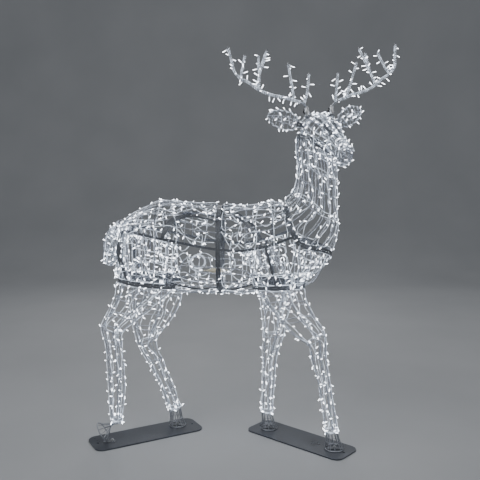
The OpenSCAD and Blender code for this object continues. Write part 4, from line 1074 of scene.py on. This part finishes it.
def front_lights(skin):
    lights = Lights(22)
    # the body skin drawn on to the neck joint, over the upper half
    last = np.where((np.abs(ANGLES) < 91)[:, None], seam_at(ANGLES) - vec(6, 0, 0),
                    ring_at(FRONT[3], ANGLES) + vec(62, 0, 0))
    full = Skin([ring_at(ring, ANGLES) for ring in FRONT] + [last])
    lights.web(full, (0.12, 3.85), (-88, 88), 7, sway=7, drift=0.1)
    lights.web(skin, (0.12, 1.9), (100, 260), 7, drift=0.1)
    lights.web(full, (0.25, 3.6), (-86, 86), 3, sway=10, drift=0.22, lift=(5, 11), key=70,
               gap=57.2, cross=True)
    lights.web(skin, (0.2, 1.6), (95, 265), 2, sway=12, drift=0.18, lift=(5, 10), key=60,
               gap=57.2, cross=True)
    steps = UNIT_STEPS
    for side in (-1, 1):
        band, out = FORE[side][0], vec(0, side, 0)
        top = full.at(1.3 + steps * 2.3, 90 * side)
        end = upper_band(band, side * (165 - 105 * steps))
        shoulder = Skin(bowed(top, end, out * 8), steps, out)
        lights.web(shoulder, (0.06, 1.94), (0.02, 0.98), 5, sway=0.035, drift=0.05, lift=(4, 8),
                   key=42, lean=0.45)
        lights.web(shoulder, (0.15, 1.85), (0.05, 0.95), 2, sway=0.04, drift=0.12, lift=(5, 10),
                   key=60, gap=57.2, cross=True)
        angles = (92 + steps * 84) * side
        top = seam_at(angles) - seam_across(angles) * 8
        end = upper_band(band, side * (56 - 96 * steps))
        bulge = unit(np.stack([steps * 1.3, side * (1.1 - steps), steps * 0], 1))
        bulge = bulge * np.interp(steps, [0, 0.5, 1], [8, 16, 26])[:, None]
        chest = Skin(bowed(top, end, bulge), steps, vec(0.6, side * 0.6, 0))
        lights.web(chest, (0.05, 1.93), (0.02, 0.98), 6, sway=0.025, drift=0.04, lift=(3, 7),
                   key=42, gap=52, lean=0.4)
        lights.web(chest, (0.2, 1.8), (0.05, 0.95), 2, sway=0.03, drift=0.08, lift=(3, 8),
                   key=55, gap=57.2, cross=True)
    lights.make("front_body", "front_body_lights")


# ---------------------------------------------------------------- legs
SOLE_Z, SOLE_RIM_Z = 6.1, 8.6  # undersides of the sole plates, middle of the rim wire
SLOT = 4.6                     # half width of the slot between sole plates


def hoof_wire(wire, i, points):
    wire.rod(points, 1.6 if i % 2 else 1.9, 6, THIRD, bead=False)


def sole_plate(wire, x, y, low, high):
    wire.slab(vec(x, y, SOLE_Z), Z_AXIS, X_AXIS, [*low, 0], [*high, BAR_T])


def standing_hoof(wire, ring, x, y, radius):
    """Cage of wires from a leg's last ring down to a round sole."""
    sole = np.array([[x, y, SOLE_RIM_Z], [radius, 0, 0], [0, radius, 0], [-radius, 0, 0]])
    for i, angle in enumerate(range(0, 360, 30)):
        low_angle = angle + (14 if i % 3 == 1 else 0)
        hoof_wire(wire, i, bowed(ring_point(ring, angle), ring_point(sole, low_angle),
                                 ring_out(sole, low_angle)[0] * -4))
    wire.hoop(sole, 2.6, 36, THIRD)
    wire.hoop(ring * 0.45 + sole * 0.55, 1.5, 32, THIRD, -3)
    sole_plate(wire, x, y, (-radius, -10), (-SLOT, 10))
    sole_plate(wire, x, y, (SLOT, -10), (radius, 10))


def flexed_hoof(wire, ring):
    """Tilted hoof of the right hind leg, its toe resting on a slotted plate."""
    y = ring[0][1]
    slope = unit(vec(49, 0, -80)) * 44
    sole = np.array([[-534, y, 53], slope, [0, 38, 0], -slope])
    for i, angle in enumerate(range(0, 360, 30)):
        hoof_wire(wire, i, bowed(ring_point(ring, angle + 180), ring_point(sole, angle),
                                 vec(0, 0, -2)))
    wire.hoop(sole, 2.6, 36, THIRD)
    for low, high in (((-40, -14), (-SLOT, 14)), ((SLOT, -14), (14, 14)),
                      ((-SLOT, SLOT), (SLOT, 14)), ((-SLOT, -14), (SLOT, -SLOT))):
        sole_plate(wire, -490, y, low, high)
    for side in (-1, 1):
        wire.rod([vec(-526, y + side * 11.5, SOLE_RIM_Z), ring_point(sole, side * 20)],
                 LIGHT, mat=THIRD)


def leg(name, rings, hoops, seed, hoof, *sole):
    """hoops lists the stations that carry one; sole is passed on to the hoof function."""
    wire = Wirework(tie_seed=seed)
    wire.joint(rings[0], leg_tabs(rings), -1)
    for angle in range(0, 360, 72):
        points = [ring_point(ring, angle) for ring in rings]
        points[0] = points[0] - ring_axis(rings[0]) * (BAR_W / 2 + GAP)
        wire.tied_tube(smooth(points), ROD, pitch=80)
    for i in hoops:
        wire.hoop(rings[i])
    hoof(wire, rings[-1], *sole)
    wire.finish(name, name, BARE_WIRE)
    lights = Lights(seed + 50)
    skin, last = ring_skin(rings), len(rings) - 1
    lights.web(skin, (0.12, last - 0.04), (15, 375), 7, sway=7, lift=(3.8, 6.5), key=48, gap=52,
               lean=0.7, inner=0.25)
    lights.web(skin, (0.2, last * 0.55), (0, 360), 3, sway=10, lift=(-14, -4), key=50,
               gap=57.2, lean=0.5, inner=0.0)
    # last turns of cable round the fetlock
    angles = np.linspace(0, 720, 60)
    rise = Z_AXIS * (6 + angles[:, None] / 720 * 7)
    lights.string(ring_at(rings[-1], angles, 4.6) + rise, ring_out(rings[-1], angles),
                  gap=44.2, lean=0.8)
    lights.make(name, name + "_lights")


# ---------------------------------------------------------------- neck
def neck():
    wire = Wirework(tie_seed=31)
    skin = Skin([seam_at(ANGLES)] + [ring_at(ring, ANGLES) for ring in NECK])
    wire.neck_joint(1)
    rows = np.linspace(0.04, 5, 46)
    for angle in range(20, 360, 20):
        wire.tied_tube(skin.at(rows, angle), LIGHT if angle % 40 else ROD, pitch=90)
    wire.skin_strip(skin, rows, 0.0, 12)
    for ring in NECK[:-1]:
        wire.hoop(ring, 1.9, 48)
    wire.joint(COLLAR, COLLAR_TABS, -1)
    wire.finish("neck", "neck_frame")
    lights = Lights(41)
    lights.web(skin, (0.12, 4.9), (5, 365), 13, sway=4.5, lift=(4, 7.5), key=50, inner=0.3)
    lights.web(skin, (0.3, 4.0), (0, 330), 2, sway=0, drift=0.12, lift=(-12, 8), key=50,
               gap=59.8, cross=True)
    lights.make("neck", "neck_lights")


# ---------------------------------------------------------------- head
def antler_socket(side):
    return crown(8, side * 60, 74)


def ear_axes(side):
    """Root of an ear, its length direction, its width direction and their cross product."""
    if side < 0:
        along = unit(UP * 0.36 - LEFT * 0.743 - FWD * 0.669)
    else:
        along = unit(UP * 0.3 + LEFT * 0.93 - FWD * 0.25)
    width = UP + FWD * 0.12
    width = unit(width - along * (width @ along))
    return crown(-12, side * 84, 40), along, width, unit(np.cross(along, width))


def head_cage(wire, skin):
    for angle in range(0, 360, 20):
        upper = angle < 110 or angle > 250
        if angle % 40:
            wire.tube(skin.at(np.linspace(1 if upper else 3.8, 7, 40), angle), 1.6, 6)
        else:
            rows = np.linspace(0, 7, 57) if upper else np.linspace(3.8, 7, 30)
            wire.tied_tube(skin.at(rows, angle), WIRE, pitch=70, sides=7)
    for row in np.arange(0, 7.01, 0.5):
        # hoops stay open below until the jaw clears the collar
        whole = row > 3.6
        angles = turn(44) if whole else np.linspace(-106, 106, 30)
        wire.tube(skin.at(row, angles), 1.9 if row % 1 == 0 else 1.4, 6, closed=whole)
    # collar angle, head station, angle on that station
    for collar_angle, i, angle in (
            (0, 2, 260), (30, 1, 260), (90, 0, 100), (120, 1, 100), (150, 2, 100),
            (200, 3, 110), (225, 4, 150), (240, 4, 240), (268, 3, 280), (330, 2, 250)):
        wire.rod([upper_band(COLLAR, collar_angle)[0], ring_point(HEAD[i], angle)], WIRE)


def head_side(wire, skin, side):
    wire.skin_strip(skin, np.linspace(0.9, 5, 40), 24 * side, 11, 1.5)
    wire.skin_strip(skin, np.linspace(0, 6.4, 50), 100 * side, 9, 1.5)
    # antler socket, its foot, boss and struts
    socket = antler_socket(side)
    wire.lathe(socket, UP, [(6.1, 2), (6.1, 35.4), (6.7, 36), (9.4, 36), (10, 35.4), (10, 0.6),
                            (9.4, 0), (0.01, 0), (0.01, 2)], 28, THIRD)
    wire.slab(socket, UP, -FWD, [-14, -9, -4], [14, 9, 2])
    wire.lathe(socket + UP * 22 - FWD * 9.4, -FWD,
               [(2.6, 0), (6, 0), (6, 3.1), (5.5, 3.6), (2.6, 3.6), (2.6, 0)], 20, THIRD)
    for i, angle, forward in ((1, 40, -5), (2, 40, 0), (3, 40, 5), (2, 80, 0)):
        wire.rod([ring_point(HEAD[i], angle * side), socket + FWD * forward - UP * 3], LIGHT)
    # ear bracket and struts
    root, along, width, back = ear_axes(side)
    wire.slab(root, along, width, [-10, -3.3, -26], [10, -0.3, 14])
    for i, angle in ((1, 80), (2, 80), (1, 40)):
        wire.rod([ring_point(HEAD[i], angle * side), root - along * 18 - back * 2.2], 1.8)
    wire.rod([ring_point(HEAD[7], 30 * side), ring_point(HEAD[7], 150 * side)], LIGHT)


def nose(wire):
    angles = turn(20)
    for side in (-1, 1):
        nostril = face(256, 0, -56) + LEFT * (11 * side) + FWD
        loop = nostril + np.outer(cosd(angles) * 8, LEFT) + np.outer(sind(angles) * 6, UP)
        wire.tube(loop, 1.5, 6, closed=True)
    for scale, forward in ((0.72, 3.5), (0.42, 6)):
        ring = HEAD[7].copy()
        ring[1:] *= scale
        ring[0] += FWD * forward
        wire.hoop(ring, 1.5, 30)


def head():
    wire = Wirework(tie_seed=32)
    skin = ring_skin(HEAD)
    wire.joint(COLLAR, COLLAR_TABS, 1)
    head_cage(wire, skin)
    for side in (-1, 1):
        head_side(wire, skin, side)
    nose(wire)
    wire.finish("head", "head_frame", ZINC)
    lights = Lights(42)
    lights.web(skin, (0.15, 6.9), (-104, 104), 7, sway=6, lift=(3.6, 7), key=42, gap=46.8,
               inner=0.25)
    lights.web(skin, (3.9, 6.9), (110, 250), 3, sway=6, lift=(3.6, 7), key=42, gap=46.8,
               inner=0.25)
    lights.web(skin, (0.4, 6.7), (-104, 104), 5, sway=0, drift=0.12, lift=(3.6, 8), key=42,
               gap=49.4, lean=0.5, inner=0.25, cross=True)
    # cable across the crown between the sockets
    path = smooth([crown(-30, -70, 58), crown(-14, -36, 84), crown(14, 0, 82),
                   crown(-8, 34, 88), crown(20, 66, 62)], 10)
    lights.string(path, UP, gap=33.8, lean=0.7)
    lights.make("head", "head_lights")


# ---------------------------------------------------------------- ears
# distance from the root, half width
EAR = [[8, 11], [40, 34], [80, 41], [118, 37], [148, 22], [166, 0]]
# cross ribs: distance from the root, half width, wire radius
EAR_RIBS = [[24, 23, 1.3], [40, 34, 1.7], [60, 38.5, 1.3], [80, 41, 1.7], [100, 40, 1.3],
            [118, 37, 1.7], [138, 28, 1.3]]


def ear(side, name):
    root, along, width, back = ear_axes(side)

    def at(x, y, z):
        return root + width * x + back * (y + 4) + along * z

    wire = Wirework()
    half = smooth(EAR)
    rim = np.array([at(x, 0, z) for z, x in half] + [at(-x, 0, z) for z, x in half[-2::-1]])
    wire.tube(rim, WIRE)
    for z, x, radius in EAR_RIBS:
        wire.rod([at(x, 0, z), at(x * 0.5, 7.5, z + 2), at(0, 9.5, z + 3),
                  at(-x * 0.5, 7.5, z + 2), at(-x, 0, z)], radius, 6, bead=False)
    for i in (-1, 0, 1):
        wire.rod([at(i * 7, 1.5, 10), at(i * 11, 8, 40), at(i * 13, 8.6, 80),
                  at(i * 11, 8.6, 118), at(i * 4, 6, 146), at(0, 0, 165)], 1.6, 6, bead=False)
    wire.slab(root, along, width, [-10, 0.3, -8], [10, 3.3, 20])
    wire.finish(name, name)
    lights = Lights(60 + side)
    # cable wound 13 times round the rim
    place = np.linspace(0, 1, 70)
    base = rim[(place * (len(rim) - 1)).astype(int)]
    phase = (place * 2 * math.pi * 13)[:, None]
    out = unit(base - at(0, 0, 84))
    lights.string(base + (out * np.cos(phase) + back * np.sin(phase)) * 4.6, out,
                  gap=35.1, lean=0.7, radius=1.3)
    # zigzag over the cross ribs
    path = smooth([at(-6, 11, 18), at(16, 9, 34), at(-18, 11, 52), at(22, 9, 72),
                   at(-22, 10, 90), at(18, 9, 108), at(-10, 10, 128), at(4, 8, 146)])
    lights.string(path, back * side, gap=35.1, lean=0.5, radius=1.3)
    lights.make(name)


# ---------------------------------------------------------------- tail
def tail():
    wire = Wirework()
    skin = ring_skin(TAIL)
    for angle in range(0, 360, 45):
        wire.tube(skin.at(np.linspace(0, 5, 41), angle), 2.1, 7)
    for row in range(1, 6):
        wire.tube(skin.at(row, turn(30)), THIN, 6, closed=True)
    wire.slab(vec(-450.7, 0, 983), Z_AXIS, X_AXIS, [-1.5, -18, -33], [1.5, 18, 33])
    wire.finish("tail", "tail_frame")
    lights = Lights(43)
    lights.web(skin, (0.3, 4.95), (0, 330), 7, sway=6, lift=(3.2, 6), key=36, gap=44.2,
               lean=0.5, inner=0.2)
    lights.web(skin, (0.6, 4.8), (0, 330), 2, sway=0, drift=0.1, lift=(3.5, 6), key=36,
               gap=46.8, lean=0.5, inner=0.1, cross=True)
    lights.make("tail", "tail_lights")


# ---------------------------------------------------------------- antlers
WRAP_STEP = 2.0
WRAP_PITCH = 13.0 / 0.75  # length of branch per turn of cable


def wrap(lights, rng, path, radii, span):
    """Two cables wound round the part of a branch between the fractions in span."""
    path = resample(path, WRAP_STEP)
    start, end = (int(len(path) * place) for place in span)
    path = path[start:max(start + 6, end)]
    count = len(path)
    along = tangents(path)
    side = carried(along, np.cross(along[0], FWD))
    up = np.cross(along, side)
    jitter = smooth(rng.normal(0, 0.5, (max(4, count // 12), 1)), 14)[:, 0]
    jitter = np.interp(np.linspace(0, 1, count), np.linspace(0, 1, len(jitter)), jitter)
    radius = (np.linspace(*radii, count) + 1.6 + np.abs(jitter) * 2.2)[:, None]
    turns = np.arange(count) * WRAP_STEP / WRAP_PITCH
    for offset, first in ((0.0, 10), (math.pi * 0.9, 44)):
        phase = (turns * 2 * math.pi + offset + jitter * 1.2)[:, None]
        out = side * np.cos(phase) + up * np.sin(phase)
        lights.string(path + out * radius, out, gap=87.36, lean=4.0, radius=1.2, first=first,
                      lamp=LONG_LAMP)


def antler(side, name):
    wire, lights = Wirework(), Lights(70 + side)
    rng = np.random.default_rng(90 + side)

    def mirrored(points):
        return [crown(forward, side * out, up) for forward, out, up in points]

    def branch(points, radius, bead, tip, span):
        path = smooth(mirrored(points))
        wire.tube(path, radius, 9, scale=np.linspace(1, 0.78, len(path)))
        wire.weld(path[0], bead)
        wrap(lights, rng, path, (radius, tip), span)

    socket = antler_socket(side)
    # plug in the socket
    wire.lathe(socket, UP, [(0.01, 2.6), (5.6, 2.6), (6, 3.2), (6, 41), (5.2, 42.5), (4, 43)],
               24, mat=1)
    main = np.concatenate([[socket + UP * 38], smooth(mirrored(BEAM[1:]), 10)])
    wire.tube(main, 4.2, 10, scale=np.linspace(1, 0.72, len(main)))
    wrap(lights, rng, main, (4.3, 3.2), (0.09, 0.985))
    for i, points in TINES:
        branch([BEAM[i]] + points, radius=3.4, bead=5, tip=2.8, span=(0.06, 0.96))
    branch(FORK, radius=3.0, bead=4.4, tip=2.5, span=(0.1, 0.95))
    body = name + "_set"
    wire.make(name + "_beam", [BARE_WIRE, ZINC], "frame", name, body=body)
    lights.make(name, name + "_lights", body)


# ---------------------------------------------------------------- supply
COIL = vec(-88, -128, 842)
COIL_RADIUS, COIL_TURNS = 30, 6
COUPLER = vec(-10, -104, 800)


def spare_coil():
    mesh, rng = Mesh(), np.random.default_rng(5)
    axis, side = vec(sind(12), -cosd(12), 0), vec(cosd(12), sind(12), 0)
    angles = np.linspace(0, 360 * COIL_TURNS, COIL_TURNS * 40)

    def wander(reach):
        values = rng.uniform(-reach, reach, COIL_TURNS + 1)
        return np.interp(angles, np.arange(COIL_TURNS + 1) * 360, values)

    lane = wander(5.5)
    radius = COIL_RADIUS + wander(2.6) + sind(angles * 0.37)
    mesh.tube(COIL + np.outer(radius * cosd(angles), side)
              + np.outer(radius * sind(angles), Z_AXIS) + np.outer(lane, axis), 1.9, glow=0.25)
    for angle in (70, 190, 310):
        spoke = side * cosd(angle) + Z_AXIS * sind(angle)
        ring = np.array([COIL + spoke * COIL_RADIUS, spoke * 5.2, axis * 8.5, spoke * -5.2])
        mesh.tube(ring_at(ring, turn(24)), 1.1, 6, mat=1, closed=True)
    mesh.make("spare_cable_bundle", [CLEAR_CABLE, NYLON], "led_string", "spare_cable_coil")


def lead(name, points):
    """Cable through points measured from the coupler."""
    mesh = Mesh()
    mesh.tube(smooth(COUPLER + points, 10), 2.4, glow=0.15)
    return mesh.make(name, [CLEAR_CABLE], "led_string")


def supply():
    spare_coil()
    lead("socket_lead", vec([50, 0, 0], [72, -4, 4], [84, -22, 34], [60, -44, 78],
                            [22, -50, 104]))
    # supply lead behind the plug
    plug_lead = lead("plug_lead", vec([-56, 0, 0], [-74, -2, -4], [-100, -12, 4],
                                      [-118, -22, 30], [-104, -26, 58], [-84, -25, 70]))
    # its ride on the stag is undone
    plug_lead.parent = None
    del plug_lead["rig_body"]
    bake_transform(plug_lead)


rear_body()
front_body()
leg("right_hind_leg", HIND[-1], [1, 2, 3, 4, 5, 6], 101, flexed_hoof)
leg("left_hind_leg", HIND[1], [1, 2, 3, 4, 5, 6, 7], 102, standing_hoof, -219, 116, 39)
leg("right_fore_leg", FORE[-1], [1, 2, 4, 5, 6, 7], 103, standing_hoof, 514, -133, 41)
leg("left_fore_leg", FORE[1], [1, 2, 4, 5, 6, 7], 104, standing_hoof, 226, 94, 39)
neck()
head()
ear(-1, "right_ear")
ear(1, "left_ear")
tail()
antler(-1, "right_antler")
antler(1, "left_antler")
supply()


# ---------------------------------------------------------------- carried CAD nodes
def finish_for(name):
    """Material and bevel width in metres of a CAD node."""
    if name.endswith("base_plate"):
        return SLATE, 0.0012
    if name.endswith("knob"):
        return KNOB, 0.0005
    if name.startswith("power_"):
        return CREAM, 0.0004
    return ZINC, 0.0


for node_name, node in cad["nodes"].items():
    if node and not node.hide_render:
        material, bevel = finish_for(node_name)
        node.data.materials.clear()
        node.data.materials.append(material)
        if bevel:
            edge = node.modifiers.new("edge", "BEVEL")
            edge.width, edge.segments = bevel, 2
            edge.limit_method, edge.angle_limit = "ANGLE", math.radians(40)
            edge.harden_normals = False


# ---------------------------------------------------------------- stage, lights, camera
# all in metres
def backdrop(front=-9, bend=4.2, radius=2.6, top=9.0, left=-12, right=13, sink=0.0006):
    """Floor that curves up into a wall behind the deer, sunk just below z = 0."""
    profile = [(front, 0.0), (bend, 0.0)]
    for i in range(1, 13):
        angle = i / 12 * 90
        profile.append((bend + radius * sind(angle), radius - radius * cosd(angle)))
    profile.append((bend + radius, top))
    verts = [(x, y, z - sink) for y, z in profile for x in (left, right)]
    faces = [(i, i + 1, i + 3, i + 2) for i in range(0, len(verts) - 2, 2)]
    data = bpy.data.meshes.new("backdrop")
    data.from_pydata(verts, [], faces)
    for polygon in data.polygons:
        polygon.use_smooth = True
    data.materials.append(floor_paint())
    ob = bpy.data.objects.new("backdrop", data)
    bpy.context.scene.collection.objects.link(ob)


def aimed(name, data, location, direction):
    """Object at location whose -z looks along direction."""
    ob = bpy.data.objects.new(name, data)
    ob.location = location
    ob.rotation_euler = direction.to_track_quat("-Z", "Y").to_euler()
    bpy.context.scene.collection.objects.link(ob)
    return ob


def area_light(name, location, target, power, size=3.0):
    data = bpy.data.lights.new(name, "AREA")
    data.shape, data.size, data.energy = "SQUARE", size, power
    aimed(name, data, location, Vector(target) - Vector(location))


def studio_world(color=(0.75, 0.78, 0.82, 1), strength=0.32):
    world = bpy.data.worlds.new("studio")
    world.use_nodes = True
    background = world.node_tree.nodes["Background"]
    background.inputs["Color"].default_value = color
    background.inputs["Strength"].default_value = strength
    bpy.context.scene.world = world


def camera(location, turned, dipped, lens=48.0):
    """Looks along +y, turned towards -x and dipped by degrees."""
    data = bpy.data.cameras.new("camera")
    data.sensor_width, data.lens = 36.0, lens
    data.clip_start, data.clip_end = 0.05, 60
    turned, dipped = math.radians(turned), math.radians(dipped)
    look = Vector((-math.sin(turned) * math.cos(dipped), math.cos(turned) * math.cos(dipped),
                   -math.sin(dipped)))
    bpy.context.scene.camera = aimed("camera", data, location, look)


backdrop()
area_light("key", location=(-2.2, -3.2, 4.0), target=(0.4, 0, 0.9), power=90)
area_light("fill", location=(4.2, -2.4, 2.2), target=(0.4, 0, 0.9), power=40)
area_light("back", location=(0.4, 3.2, 3.6), target=(0.4, 0, 1.0), power=60)
studio_world()
camera(location=(0.5419, -2.8982, 1.2130), turned=2.0, dipped=5.7)
